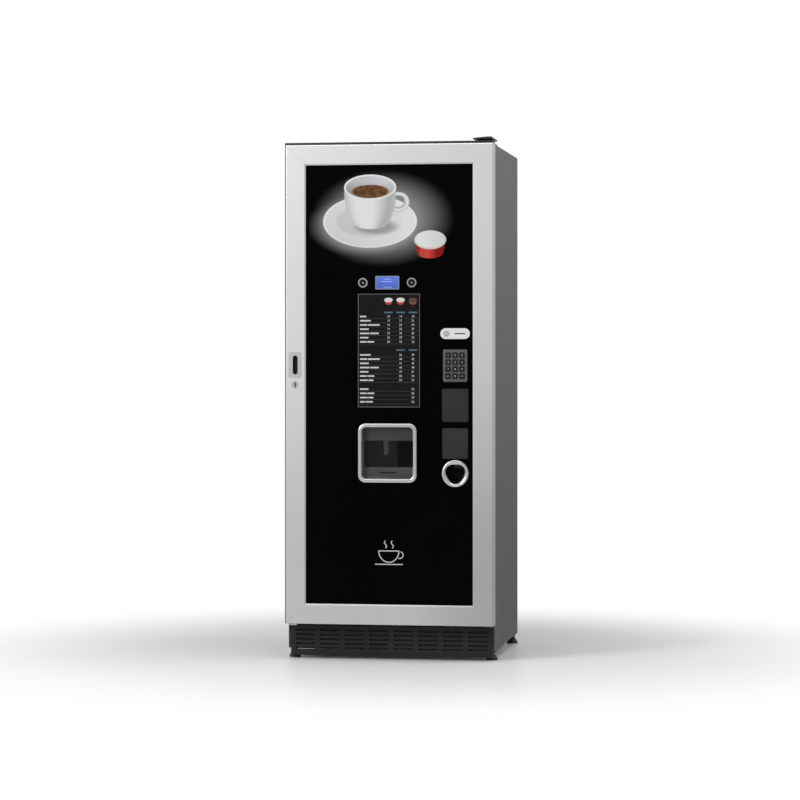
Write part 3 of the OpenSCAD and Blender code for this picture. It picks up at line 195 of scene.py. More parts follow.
def coated(name, dark, light, roughness, grain=0.0012, depth=0.00004, metallic=0.0, coat=0.0, spread=0.08,
           gloss=0.5):
    """A painted or moulded finish: cloudy colour, uneven sheen and a fine grain in the surface."""
    made, shader, place = new_finish(name, roughness, metallic, coat)
    shader.inputs["Specular IOR Level"].default_value = gloss
    cloud = place.speckle(0.12, 3.0)
    fine = place.speckle(grain, 2.0, 0.6)
    feed(shader, "Base Color", (cloud * 0.7 + fine * 0.3).fade(0.3, 0.7).between(dark, light))
    feed(shader, "Roughness", cloud * spread + (roughness - spread / 2) + (fine - 0.5) * spread)
    dents(shader, place, fine, depth)
    return made


def dress(node, material):
    """Gives a CAD node one material."""
    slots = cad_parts[node].data.materials
    slots.clear()
    slots.append(material)


floor_finish, floor_shader, floor_place = new_finish("studio_floor_paper", 0.32)
feed(floor_shader, "Base Color", floor_place.speckle(0.6).between(rgb(0.84), rgb(0.88)))
from_middle = (floor_place.part(0) ** 2.0 + floor_place.part(1) ** 2.0).root()
feed(floor_shader, "Alpha", from_middle.fade(2.0, 0.75))
floor_mesh.materials.append(floor_finish)

# ---- Cabinet panels ----
# Folded sheet steel. The two sides have a fine dark textured paint, the top, rear and tray a plain
# grey primer, all with a slight orange peel from the spray.
side_paint, side_shader, side_place = new_finish("side_paint", 0.5)
side_shader.inputs["Specular IOR Level"].default_value = 0.2
side_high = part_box("right_panel")[1]
texture = side_place.speckle(0.0011, 2.0, 0.6)
# Painted light: the side paint is lighter towards the top and darker towards the bottom.
painted_light_by_height = side_place.part(2) * (1 / side_high.z)
side_paint_and_painted_light = painted_light_by_height * 0.085 + side_place.speckle(0.15, 3.0) * 0.012 + texture * 0.012 + 0.058
feed(side_shader, "Base Color", side_paint_and_painted_light.between(rgb(0.0), rgb(1.0)))
feed(side_shader, "Roughness", texture * 0.12 + 0.44)
dents(side_shader, side_place, texture, 0.00006)
for node in ("left_panel", "right_panel"):
    dress(node, side_paint)
primer = coated("grey_primer", rgb(0.20), rgb(0.26), 0.5, 0.0016, 0.00005)
for node in ("rear_panel", "top_panel", "base_tray"):
    dress(node, primer)

# ---- Zinc-plated steel ----
# The shelf and the door rest are bright plated sheet, with the cloudy spangle that zinc has.
zinc, zinc_shader, zinc_place = new_finish("zinc_plate", 0.34, 1.0)
spangle = zinc_place.node("TexVoronoi", {"feature": "F1"}, {0: zinc_place, 2: 90.0}, 1).part(0)
feed(zinc_shader, "Base Color", spangle.between(rgb(0.50), rgb(0.72)))
feed(zinc_shader, "Roughness", zinc_place.speckle(0.03) * 0.2 + 0.24)
dents(zinc_shader, zinc_place, zinc_place.speckle(0.002), 0.00003)
for node in ("equipment_shelf", "door_rest"):
    dress(node, zinc)

# ---- Base grille, hinges and feet ----
# Black moulded plastic and black painted steel below and above the door; the feet are moulded pads on
# threaded studs.
dress("base_grille", coated("black_grille", rgb(0.008), rgb(0.016), 0.45, 0.0009, 0.00008, gloss=0.25))
dress("door_hinges", coated("black_hinge_paint", rgb(0.008), rgb(0.016), 0.34, 0.0012, 0.00005))
dress("levelling_feet", coated("black_foot_rubber", rgb(0.008), rgb(0.018), 0.6, 0.0015, 0.0001))

# ---- Silver door frame ----
# Four aluminium lengths with a satin silver finish, mitred at the corners. The grain runs along each
# length, so it turns at the mitres, and dirt darkens each mitre line a little.
frame_low, frame_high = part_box("door_frame")
frame_mid_x = (frame_low.x + frame_high.x) / 2
frame_mid_z = (frame_low.z + frame_high.z) / 2
half_wide = (frame_high.x - frame_low.x) / 2
half_tall = (frame_high.z - frame_low.z) / 2
silver, silver_shader, silver_place = new_finish("satin_silver", 0.36, 0.35)
from_side = half_wide - abs(silver_place.part(0) - frame_mid_x)
from_end = half_tall - abs(silver_place.part(2) - frame_mid_z)
mitre = from_side - from_end
upright = mitre.fade(0.0002, -0.0002)
along = silver_place.speckle(0.0006, 2.0, 0.6, (0.02, 1.0, 1.0))
down = silver_place.speckle(0.0006, 2.0, 0.6, (1.0, 1.0, 0.02))
grain = along + (down - along) * upright
line = abs(mitre).fade(0.0011, 0.0002)
# Painted shade: the silver is darker towards the bottom, and darker still on the right towards its lower
# part.
low_shade = silver_place.part(2).fade(1.10, 0.10) * 0.15
right_shade = silver_place.part(0).fade(0.0, half_wide) * silver_place.part(2).fade(1.5, 0.3) * 0.12
tone = grain * 0.06 + silver_place.speckle(0.3) * 0.06 + 0.60 - line * 0.16 - low_shade - right_shade
feed(silver_shader, "Base Color", tone.between(rgb(0.0), rgb(1.0, (1.0, 1.0, 0.995))))
feed(silver_shader, "Roughness", grain * 0.12 + 0.30)
dents(silver_shader, silver_place, grain, 0.000012)
dress("door_frame", silver)

# ---- Door pan ----
# The dark painted steel tray that carries the frame, the glass and all the fittings.
dress("door_pan", coated("dark_pan_paint", rgb(0.012), rgb(0.022), 0.38, 0.0012, 0.00005))

# ---- Front glass ----
# Black back-painted glass: a deep gloss over flat black, with the faintest waviness.
glass, glass_shader, glass_place = new_finish("black_glass", 0.16, 0.0, 0.0, 1.45)
feed(glass_shader, "Base Color", glass_place.speckle(0.4).between(rgb(0.0006), rgb(0.0014)))
feed(glass_shader, "Roughness", glass_place.speckle(0.25) * 0.05 + 0.14)
glass_shader.inputs["Specular IOR Level"].default_value = 0.03
dress("door_glass", glass)

# ---- Hatch bezel ----
# A satin silver moulding round the cup hatch: a rounded bead on the glass with a sleeve behind it.
# It is a closed profile carried round a rectangle with round corners.
hatch_low, hatch_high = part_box("hatch_bezel")


def round_rectangle(half_w, half_h, radius, per_corner=14):
    """Points (x, z) anticlockwise round a rectangle with round corners: each corner's centre plus
    radius * (cos a, sin a), with a running through a quarter turn."""
    turns = np.repeat(np.arange(4), per_corner) * math.pi / 2
    a = turns + np.tile(np.linspace(0.0, math.pi / 2, per_corner), 4)
    sx = np.repeat(np.array([1, -1, -1, 1]), per_corner)
    sz = np.repeat(np.array([1, 1, -1, -1]), per_corner)
    x = sx * (half_w - radius) + radius * np.cos(a)
    z = sz * (half_h - radius) + radius * np.sin(a)
    return np.stack([x, z], 1)


def surface(name, points, wrap_u, wrap_v):
    """A mesh from a grid of points (rows, columns, 3); wrapped ways join last to first."""
    rows, cols = points.shape[:2]
    row_starts = np.arange(rows if wrap_u else rows - 1)
    col_starts = np.arange(cols if wrap_v else cols - 1)
    i, j = np.meshgrid(row_starts, col_starts, indexing="ij")
    i2, j2 = (i + 1) % rows, (j + 1) % cols
    quads = np.stack([i * cols + j, i2 * cols + j, i2 * cols + j2, i * cols + j2], -1).reshape(-1, 4)
    mesh = bpy.data.meshes.new(name)
    mesh.from_pydata(points.reshape(-1, 3).tolist(), [], quads.tolist())
    made = bpy.data.objects.new(name, mesh)
    scene.collection.objects.link(made)
    return made


def face_outwards(made):
    """Merges doubles, turns every face outwards and shades the mesh smooth."""
    work = bmesh.new()
    work.from_mesh(made.data)
    bmesh.ops.remove_doubles(work, verts=work.verts, dist=1e-6)
    bmesh.ops.recalc_face_normals(work, faces=work.faces)
    for face in work.faces:
        face.smooth = True
    work.to_mesh(made.data)
    work.free()


def carried_profile(name, centre_x, centre_z, outlines, depths):
    """Rings at rising steps of a profile: ring k is outlines[k] round the centre at depth y[k]."""
    grid = np.array([[(centre_x + x, y, centre_z + z) for x, z in ring] for ring, y in zip(outlines, depths)])
    made = surface(name, grid, True, True)
    face_outwards(made)
    return made


hatch_x = (hatch_low.x + hatch_high.x) / 2
hatch_z = (hatch_low.z + hatch_high.z) / 2
hatch_w = (hatch_high.x - hatch_low.x) / 2
hatch_h = (hatch_high.z - hatch_low.z) / 2
bead = 0.0128
front = hatch_low.y
glass_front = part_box("door_glass")[0].y
swing = np.linspace(0.0, math.pi, 13)
bead_in = bead / 2 * (1 - np.cos(swing))
bead_y = glass_front - 0.0002 - (glass_front - front - 0.0002) * np.sin(swing) ** 0.8
insets = list(bead_in) + [bead, bead - 0.0055, bead - 0.0055, 0.003]
depths = list(bead_y) + [hatch_high.y, hatch_high.y, glass_front + 0.0005, glass_front + 0.0001]
rings = [round_rectangle(hatch_w - d, hatch_h - d, 0.026 - d * 0.75) for d in insets]
hatch_ring = carried_profile("hatch_bezel_ring", hatch_x, hatch_z, rings, depths)


def silver_with_painted_recess_shade(name, depth, tone=0.56, metal=0.6):
    """Satin silver in front of a depth and matt black behind it, as painted shade on a moulding's deep
    sleeve, dish and slot walls.
    """
    made, shader, place = new_finish(name, 0.26, 0.5)
    behind = place.part(1).fade(depth - 0.0004, depth + 0.0004)
    fine = place.speckle(0.0008, 2.0, 0.6)
    feed(shader, "Base Color", behind.between((fine * 0.08 + tone).between(rgb(0.0), rgb(1.0)), rgb(0.006)))
    feed(shader, "Metallic", (1.0 - behind) * metal)
    feed(shader, "Roughness", fine * 0.08 + 0.22 + behind * 0.3)
    dents(shader, place, fine, 0.00002)
    return made


# The bead's sleeve behind the glass front is painted matt black as shade in the hatch opening.
bright = silver_with_painted_recess_shade("satin_bead", glass_front + 0.0002)
hatch_ring.data.materials.append(bright)
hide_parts("hatch_bezel")
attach(hatch_ring, "door")

# ---- Hatch flap ----
# Smoked clear acrylic with a moulded finger lip, hung on two pins.
smoke, smoke_shader, smoke_place = new_finish("smoked_acrylic", 0.08, 0.0, 0.0, 1.49)
feed(smoke_shader, "Base Color", smoke_place.speckle(0.1).between(rgb(0.004), rgb(0.007)))
smoke_shader.inputs["Specular IOR Level"].default_value = 0.1
smoke_shader.inputs["Alpha"].default_value = 0.30
dress("hatch_flap", smoke)

# ---- Cup compartment ----
# Grey moulded plastic behind the flap: the box, the spout block with its nozzle, and the tray.
inner, inner_shader, inner_place = new_finish("compartment_plastic", 0.45)
inner_shader.inputs["Specular IOR Level"].default_value = 0.3
grainy = inner_place.speckle(0.0012)
# Painted shade: the box is grey to the left of a sharp line 4 to 12 mm right of the hatch's middle, and near
# black to its right.
painted_shade_right = inner_place.part(0).fade(hatch_x + 0.004, hatch_x + 0.012)
compartment_tone_and_painted_shade = (1.0 - painted_shade_right) * 0.46 + grainy * 0.04 + 0.010
feed(inner_shader, "Base Color", compartment_tone_and_painted_shade.between(rgb(0.0), rgb(1.0)))
dents(inner_shader, inner_place, grainy, 0.00005)
dress("cup_compartment", inner)
dress("spouts", coated("spout_grey", rgb(0.20), rgb(0.25), 0.36, 0.0012, 0.00004))
dress("cup_grid", coated("tray_grey", rgb(0.24), rgb(0.30), 0.45, 0.0012, 0.00005))

# ---- Coin return ring ----
# A satin silver casting, dished towards a soft three-cornered opening that points down.
ring_low, ring_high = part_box("coin_cup_ring")
ring_x = (ring_low.x + ring_high.x) / 2
ring_z = (ring_low.z + ring_high.z) / 2
ring_r = (ring_high.x - ring_low.x) / 2
ring_steps = 96


def soft_triangle(reach, count):
    """Points round a soft triangle that points down: at angle a the radius is
    reach * (1 + 0.07 cos(3 (a + 90 deg))), so it is largest straight down and at two upper corners."""
    a = np.linspace(0.0, 2 * math.pi, count, endpoint=False)
    radius = reach * (1.0 + 0.07 * np.cos(3 * (a + math.pi / 2)))
    return np.stack([radius * np.cos(a), radius * np.sin(a)], 1)


turn = np.linspace(0.0, 2 * math.pi, ring_steps, endpoint=False)
circle = np.stack([np.cos(turn), np.sin(turn)], 1)
hole = soft_triangle(0.0338, ring_steps)
dish = np.linspace(0.0, 1.0, 10)
ring_front = ring_low.y
ring_outlines = [circle * ring_r, circle * ring_r, circle * (ring_r - 0.0018)]
ring_depths = [glass_front - 0.0001, ring_front + 0.0022, ring_front + 0.0003]
lip = circle * (ring_r - 0.0055)
for t in dish:
    ring_outlines.append(lip + (hole - lip) * t)
    ring_depths.append(ring_front + (glass_front + 0.001 - ring_front) * t ** 1.8)
ring_outlines += [hole, hole * 1.06, circle * (ring_r - 0.009)]
ring_depths += [ring_high.y, ring_high.y, glass_front - 0.0001]
coin_ring = carried_profile("coin_return_ring", ring_x, ring_z, ring_outlines, ring_depths)
# The dish deeper than 1.1 mm behind the glass front is painted matt black: painted shade in the opening.
coin_ring.data.materials.append(silver_with_painted_recess_shade("satin_coin_ring", glass_front + 0.0011))
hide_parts("coin_cup_ring")
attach(coin_ring, "door")
dress("coin_bowl", coated("black_bowl", rgb(0.002), rgb(0.005), 0.5, 0.001, 0.00006, gloss=0.1))

# ---- Front poster ----
# A printed film behind the glass face: a cup of coffee on its saucer beside a coffee capsule, in a soft
# white glow. It is a thin sheet on the glass, and everything on it is drawn by distance formulas.
poster_x, poster_z = (-0.285, 0.290), (1.366, 1.742)
film_y = glass_front - 0.0003


def flat_sheet(name, x_ends, z_ends, y, cells):
    """A flat sheet facing the front: the grid x = x0 + u (x1 - x0), z = z0 + v (z1 - z0)."""
    u, v = np.meshgrid(np.linspace(*x_ends, cells + 1), np.linspace(*z_ends, cells + 1), indexing="ij")
    return surface(name, np.stack([u, np.full_like(u, y), v], -1)[::-1], False, False)


def face_front(made):
    """Turns each face of a flat sheet towards -Y."""
    mesh = made.data
    mesh.update()
    if mesh.polygons[0].normal.y > 0:
        mesh.flip_normals()


poster = flat_sheet("poster_film", poster_x, poster_z, film_y, 6)
face_front(poster)
print_finish, print_shader, print_place = new_finish("poster_print", 0.16)
print_shader.inputs["Specular IOR Level"].default_value = 0.03
px, pz = print_place.part(0), print_place.part(2)


def oval(x, z, half_w, half_h):
    """How far a place is from an oval's middle, with 1 at its edge."""
    return (((px - x) / half_w) ** 2.0 + ((pz - z) / half_h) ** 2.0).root()


def over(below, colour, cover):
    """Lays a colour, plain or a wire, over what is below, as far as cover says."""
    return cover.between(below, colour)


wide_glow = oval(-0.020, 1.560, 0.262, 0.176).fade(1.0, 0.30) * 0.34
glow = wide_glow + oval(-0.085, 1.535, 0.215, 0.115).fade(1.0, 0.45) * 0.30
picture = glow.between(rgb(0.0016), rgb(1.0, (0.97, 0.98, 1.0)))

# Where the saucer, the bowl and its mouth, the ear and the capsule's lid and base stand, in metres.
saucer_x, saucer_z = -0.066, 1.549
bowl_x, mouth_z = -0.065, 1.670
ear_x = 0.036
capsule_x, lid_z, base_z = 0.149, 1.483, 1.4330

# The saucer: a wide white dish with a raised rim, a well and a shadow under the cup.
dish_edge = oval(saucer_x, saucer_z, 0.1685, 0.0930)
well = oval(saucer_x, 1.553, 0.118, 0.058)
near_side = (saucer_z - pz).fade(-0.02, 0.09)
dish_shade = well.fade(1.12, 0.92) * -0.14 + (px - saucer_x) * 0.9 + 0.86 - near_side * 0.10
dish_white = dish_shade.fade(0.0, 1.0).between(rgb(0.22, (0.93, 0.96, 1.0)), rgb(0.92))
picture = over(picture, dish_white, dish_edge.fade(1.006, 0.992))
cup_shadow = oval(-0.045, 1.530, 0.085, 0.030).fade(1.15, 0.55) * 0.75
picture = over(picture, rgb(0.30, (0.95, 0.97, 1.0)), cup_shadow)
picture = over(picture, rgb(0.97), abs(dish_edge - 0.965).fade(0.030, 0.006) * 0.7)

# The handle: an ordinary ear, an oval loop beside the bowl.
ear = oval(ear_x, 1.617, 0.040, 0.036)
ear_hole = oval(ear_x, 1.620, 0.021, 0.0195)
picture = over(picture, rgb(0.62, (0.96, 0.98, 1.0)), ear.fade(1.02, 0.97) * ear_hole.fade(0.94, 1.02))
picture = over(picture, rgb(0.90), abs(ear - 0.80).fade(0.17, 0.05) * ear_hole.fade(0.98, 1.1))

# The bowl of the cup: its half width narrows from the rim to the foot along a rounded curve.
drop = (mouth_z - pz) / 0.138
bowl_half = (1.0 - drop.high(0.0).low(1.0) ** 2.4) ** 0.62 * 0.045 + 0.0475
bowl_reach = abs(px - bowl_x) / bowl_half
foot_round = oval(-0.063, 1.5345, 0.050, 0.0120)
in_bowl = bowl_reach.fade(1.02, 0.985) * drop.fade(-0.02, 0.0) * drop.fade(1.0, 0.985)
cup_side = (px - bowl_x) / bowl_half
cup_tone = 0.93 - abs(cup_side + 0.22).fade(0.25, 1.1) * 0.42 + cup_side.fade(0.70, 1.0) * 0.10
cup_white = cup_tone.between(rgb(0.0), rgb(1.0, (0.985, 0.99, 1.0)))
picture = over(picture, cup_white, in_bowl.high(foot_round.fade(1.03, 0.97)))

# The mouth: a bright rim, the shaded inner wall and the coffee with its pale foam edge.
rim = oval(bowl_x, mouth_z, 0.0930, 0.0445)
inner = oval(bowl_x, 1.6695, 0.0865, 0.0395)
coffee = oval(bowl_x, 1.655, 0.0665, 0.0235)
picture = over(picture, rgb(0.95), rim.fade(1.015, 0.985))
wall_tone = (pz - 1.640).fade(0.0, 0.06) * 0.30 + 0.40 + (px - bowl_x) * 1.2
wall_white = wall_tone.between(rgb(0.0), rgb(1.0, (0.96, 0.97, 1.0)))
picture = over(picture, wall_white, inner.fade(1.01, 0.985))
foam = print_place.speckle(0.018, 3.0, 0.6)
coffee_tone = foam.fade(0.35, 0.7).between(rgb(0.13, (1.0, 0.42, 0.18)), rgb(0.24, (1.0, 0.52, 0.26)))
picture = over(picture, coffee_tone, coffee.fade(1.03, 0.98))
picture = over(picture, rgb(0.42, (1.0, 0.66, 0.40)), abs(coffee - 0.96).fade(0.06, 0.01) * 0.55)

# The capsule: a red cup with a white lid, turned a little towards the viewer.
lid = oval(capsule_x, lid_z, 0.0570, 0.0335)
body_drop = (lid_z - pz) / 0.062
body_half = 0.0555 - body_drop.high(0.0).low(1.0) * 0.0125
in_body = (abs(px - capsule_x) / body_half).fade(1.02, 0.98) * body_drop.fade(-0.02, 0.0)
base_round = oval(capsule_x, base_z, 0.0430, 0.0150)
in_base = base_round.fade(1.03, 0.97)
in_body = in_body * (pz - base_z).fade(-0.001, 0.001).high(in_base)
red_tone = abs(px - 0.135).fade(0.045, 0.0)
red = red_tone.between(rgb(0.30, (1.0, 0.05, 0.05)), rgb(0.75, (1.0, 0.10, 0.08)))
picture = over(picture, red, in_body.high(in_base))
picture = over(picture, rgb(0.50, (1.0, 0.28, 0.24)), abs(px - 0.117).fade(0.006, 0.001) * in_body * 0.5)
picture = over(picture, rgb(0.70), lid.fade(1.02, 0.98))
lid_white = (px - 0.09).fade(0.0, 0.12).between(rgb(0.96), rgb(0.80))
picture = over(picture, lid_white, oval(capsule_x, 1.4845, 0.0520, 0.0295).fade(1.03, 0.97))

# The whole picture is printed at 0.70 of its strength, so that its whites stay below pure white.
ink_strength = rgb(0.70)
multiply = {"data_type": "RGBA", "blend_type": "MULTIPLY"}
feed(print_shader, "Base Color", picture.node("Mix", multiply, {0: 1.0, 6: picture, 7: ink_strength}, 2))
feed(print_shader, "Roughness", print_place.speckle(0.25) * 0.05 + 0.14)
poster.data.materials.append(print_finish)
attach(poster, "door")

# ---- Menu card ----
# A dark printed card in a thin grey border: three picture stamps, headers, and rows of item names with
# column numbers. The names are printed as plain bars, and only the numbers can be read.
card_low, card_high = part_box("menu_card")
dress("menu_card", coated("menu_card_ink", rgb(0.007), rgb(0.010), 0.35, 0.0012, 0.00002, gloss=0.08))
print_y = card_low.y - 0.0001


def printed(name, bars, y, colour):
    """A flat print of many bars (x0, x1, z0, z1), each one quad facing the front."""
    bars = np.array(bars, float)
    x0, x1, z0, z1 = bars.T
    flat = np.full(len(bars), y)
    corners = ((x0, flat, z0), (x1, flat, z0), (x1, flat, z1), (x0, flat, z1))
    points = np.stack([np.stack(corner, -1) for corner in corners], 1)
    mesh = bpy.data.meshes.new(name)
    mesh.from_pydata(points.reshape(-1, 3).tolist(), [], np.arange(4 * len(bars)).reshape(-1, 4).tolist())
    made = bpy.data.objects.new(name, mesh)
    scene.collection.objects.link(made)
    ink, ink_shader, ink_place = new_finish(name + "_ink", 0.4)
    mottle = ink_place.speckle(0.004).fade(0.2, 0.8)
    feed(ink_shader, "Base Color", mottle.between(rgb(colour[0] * 0.8, colour[1]), rgb(*colour)))
    made.data.materials.append(ink)
    return made


def digits(name, words, size, y, colour, body):
    """Numbers as flat print: each (text, x, z) is centred there, made a mesh and joined."""
    work = bmesh.new()
    for text, x, z in words:
        curve = bpy.data.curves.new(name + "_type", "FONT")
        curve.body = text
        curve.size = size
        curve.align_x = "CENTER"
        curve.align_y = "CENTER"
        curve.resolution_u = 3
        letter = bpy.data.objects.new(name + "_type", curve)
        scene.collection.objects.link(letter)
        flat = bpy.data.meshes.new_from_object(letter)
        count = len(flat.vertices)
        place = np.empty(count * 3)
        flat.vertices.foreach_get("co", place)
        place = place.reshape(-1, 3)
        stood = np.stack([place[:, 0] + x, y - place[:, 2], place[:, 1] + z], 1)
        flat.vertices.foreach_set("co", stood.reshape(-1))
        work.from_mesh(flat)
        bpy.data.objects.remove(letter)
        bpy.data.meshes.remove(flat)
    mesh = bpy.data.meshes.new(name)
    work.to_mesh(mesh)
    work.free()
    made = bpy.data.objects.new(name, mesh)
    scene.collection.objects.link(made)
    ink, ink_shader, ink_place = new_finish(name + "_ink", 0.4)
    mottle = ink_place.speckle(0.004).fade(0.2, 0.8)
    feed(ink_shader, "Base Color", mottle.between(rgb(colour * 0.85), rgb(colour)))
    made.data.materials.append(ink)
    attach(made, body)
    return made


border = 0.0016
card = (card_low.x + 0.0015, card_high.x - 0.0015, card_low.z + 0.0015, card_high.z - 0.0015)
edge_bars = [
    (card[0], card[1], card[3] - border, card[3]), (card[0], card[1], card[2], card[2] + border),
    (card[0], card[0] + border, card[2] + border, card[3] - border),
    (card[1] - border, card[1], card[2] + border, card[3] - border),
]
name_start = card_low.x + 0.0085
columns = [0.0008, 0.0439, 0.0878]
row_step = 0.0149
blocks = [(1.2140, 7, columns, 0), (1.0786, 7, columns[1:], 3), (0.9580, 4, columns[2:], 5)]
# The bars in each row, in millimetres; 0 is no second bar.
word_lengths = [
    [22, 0], [27, 18], [34, 30], [38, 0], [19, 24],
    [30, 0], [26, 41], [35, 12], [23, 25], [31, 0],
]
bar_tall = 0.0052
name_bars, rule_bars, numbers = [], [], []
for top, count, places, first in blocks:
    for row in range(count):
        z = top - row * row_step
        start = name_start
        for word in word_lengths[(first + row * 3) % len(word_lengths)]:
            if word:
                name_bars.append((start, start + word / 1000, z - bar_tall / 2, z + bar_tall / 2))
                start += word / 1000 + 0.003
        rule_z = z - row_step / 2
        rule_bars.append((name_start, card_high.x - 0.008, rule_z - 0.0003, rule_z + 0.0003))
        numbers += [(str(10 + first * 7 + row * 3 + int(x * 100)), x, z) for x in places]
header_bars = []
header_half = 0.0150
for z, places in ((1.2280, columns), (1.0955, columns[1:])):
    header_bars += [(x - header_half, x + header_half, z - 0.0028, z + 0.0028) for x in places]
for name, bars, colour in (
    ("menu_border", edge_bars, (0.15, (1, 1, 1))),
    ("menu_names", name_bars, (0.60, (1, 1, 1))),
    ("menu_rules", rule_bars, (0.085, (1, 1, 1))),
    ("menu_headers", header_bars, (0.16, (0.35, 0.75, 1.0))),
):
    bars_made = printed(name, bars, print_y, colour)
    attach(bars_made, "door")
digits("menu_numbers", numbers, 0.0100, print_y - 0.00002, 0.72, "door")

# The three stamps at the top: two white and red capsules and a brown one.
stamp_z = 1.2690
stamp_base_drop, stamp_lid_rise = 0.0045, 0.0030


def disc_print(name, x, z, half_w, half_h, y, colour, count=40):
    """A flat oval print: a fan of points (x + w cos a, z + h sin a)."""
    a = np.linspace(0, 2 * math.pi, count, endpoint=False)
    points = np.stack([x + half_w * np.cos(a), np.full(count, y), z + half_h * np.sin(a)], 1)
    mesh = bpy.data.meshes.new(name)
    mesh.from_pydata(points.tolist(), [], [list(range(count))])
    made = bpy.data.objects.new(name, mesh)
    scene.collection.objects.link(made)
    face_front(made)
    ink, ink_shader, ink_place = new_finish(name + "_ink", 0.35)
    mottle = ink_place.speckle(0.006)
    feed(ink_shader, "Base Color", mottle.between(rgb(colour[0] * 0.85, colour[1]), rgb(*colour)))
    mesh.materials.append(ink)
    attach(made, "door")


capsule_red = (0.42, (1.0, 0.07, 0.06))
capsule_white = (0.66, (1.0, 0.99, 0.97))
coffee_brown = (0.16, (1.0, 0.35, 0.22))
dark_brown = (0.10, (1.0, 0.30, 0.2))
stamp_bases = (capsule_red, capsule_red, coffee_brown)
stamp_lids = (capsule_white, capsule_white, dark_brown)
for i, (x, base, lid_tone) in enumerate(zip(columns, stamp_bases, stamp_lids)):
    base_y, lid_y = print_y - 0.00003, print_y - 0.00006
    disc_print("menu_stamp_base_%d" % (i + 1), x, stamp_z - stamp_base_drop, 0.0128, 0.0098, base_y, base)
    disc_print("menu_stamp_lid_%d" % (i + 1), x, stamp_z + stamp_lid_rise, 0.0150, 0.0080, lid_y, lid_tone)

# ---- Display ----
# A small blue lit screen in a pale frame, with a few pale dashes where its words would be.
screen_low, screen_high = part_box("display")
screen_x = (screen_low.x + screen_high.x) / 2
screen_z = (screen_low.z + screen_high.z) / 2
lit, lit_shader, lit_place = new_finish("lit_screen", 0.2)
sx, sz = lit_place.part(0) - screen_x, lit_place.part(2) - screen_z
inside = (0.0395 - abs(sx)).low(0.0207 - abs(sz)).fade(-0.0003, 0.0003)
shade = sz.fade(-0.02, 0.02) * 0.25 + 0.75
blue = shade.between(rgb(0.0), rgb(1.0, (0.07, 0.13, 0.50)))
top_dash = (0.0 - abs(sz - 0.0125)).fade(-0.0011, -0.0007) * (0.0135 - abs(sx)).fade(-0.0005, 0.0005)
mid_dash = (0.0 - abs(sz - 0.0040)).fade(-0.0012, -0.0008) * (0.0190 - abs(sx + 0.0015)).fade(-0.0005, 0.0005)
low_dash = (0.0 - abs(sz + 0.0160)).fade(-0.0009, -0.0005) * (0.0150 - abs(sx - 0.002)).fade(-0.0005, 0.0005)
dash_rows = top_dash.high(mid_dash).high(low_dash)
pixels = sx.sum("PINGPONG", sx + 1.0, 0.00045).fade(0.00003, 0.0001) * 0.12 + 0.88
blue = (dash_rows * 0.6 * pixels).between(blue, rgb(0.62, (0.82, 0.88, 1.0)))
frame_tone = rgb(0.34, (0.72, 0.80, 1.0))
feed(lit_shader, "Base Color", inside.between(frame_tone, blue))
feed(lit_shader, "Emission Color", (inside * 0.5).between(rgb(0.0), blue))
lit_shader.inputs["Emission Strength"].default_value = 0.7
dress("display", lit)

# ---- Selection buttons ----
# A satin ring on the glass round a black dished button with a small pale dot.
dress("button_bezels", coated("button_ring_grey", rgb(0.26), rgb(0.34), 0.32, 0.0008, 0.00002, 0.3))
for node in ("left_button", "right_button"):
    low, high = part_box(node)
    push, push_shader, push_place = new_finish(node + "_finish", 0.24)
    push_shader.inputs["Specular IOR Level"].default_value = 0.15
    across = push_place.part(0) - (low.x + high.x) / 2
    up = push_place.part(2) - (low.z + high.z) / 2
    reach = (across ** 2.0 + up ** 2.0).root()
    feed(push_shader, "Base Color", reach.fade(0.0033, 0.0027).between(rgb(0.003), rgb(0.36)))
    feed(push_shader, "Roughness", push_place.speckle(0.002) * 0.1 + 0.2)
    dress(node, push)

# ---- Keypad ----
# A mid-grey cast frame with twelve dark rounded keys. Each key carries a pale number or sign, printed
# on its face, and the print rides with its own key.
dress("keypad_bezel", coated("keypad_cast_grey", rgb(0.080), rgb(0.10), 0.42, 0.0009, 0.00005, gloss=0.3))
key_finish = coated("key_black", rgb(0.010), rgb(0.016), 0.4, 0.0008, 0.00003, gloss=0.2)
key_signs = ["1", "2", "3", "4", "5", "6", "7", "8", "9", "clear", "0", "enter"]
legend_size = 0.0105
for sign in key_signs:
    node = "key_" + sign
    dress(node, key_finish)
    low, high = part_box(node)
    middle_x, middle_z = (low.x + high.x) / 2, (low.z + high.z) / 2
    legend_y = low.y - 0.00012
    if sign in ("clear", "enter"):
        arm = 0.0032
        if sign == "clear":
            bars = [(-arm, arm, -0.0006, 0.0006), (-arm, -arm + 0.0012, -0.0024, 0.0024)]
        else:
            bars = [(-arm, arm, -0.0006, 0.0006), (arm - 0.0012, arm, 0.0006, 0.0030)]
        bars = [(middle_x + a, middle_x + b, middle_z + c, middle_z + d) for a, b, c, d in bars]
        legend = printed(node + "_legend", bars, legend_y, (0.50, (1, 1, 1)))
        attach(legend, node)
    else:
        number = [(sign, middle_x, middle_z)]
        digits(node + "_legend", number, legend_size, legend_y, 0.50, node)

# ---- Coin slot plate ----
# A pale satin pill-shaped plate with a coin slot on the right, its walls painted black as shade,
# and a round return button on the left.
plate_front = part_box("coin_slot_plate")[0].y
coin_plate = silver_with_painted_recess_shade("pale_coin_plate", plate_front + 0.0016, 0.74, 0.2)
dress("coin_slot_plate", coin_plate)
button_low, button_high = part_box("coin_return_button")
button_metal, button_shader, button_place = new_finish("turned_button_metal", 0.28, 0.6)
across = button_place.part(0) - (button_low.x + button_high.x) / 2
up = button_place.part(2) - (button_low.z + button_high.z) / 2
reach = (across ** 2.0 + up ** 2.0).root()
turned = reach.sum("PINGPONG", reach, 0.0003) * (1 / 0.0003)
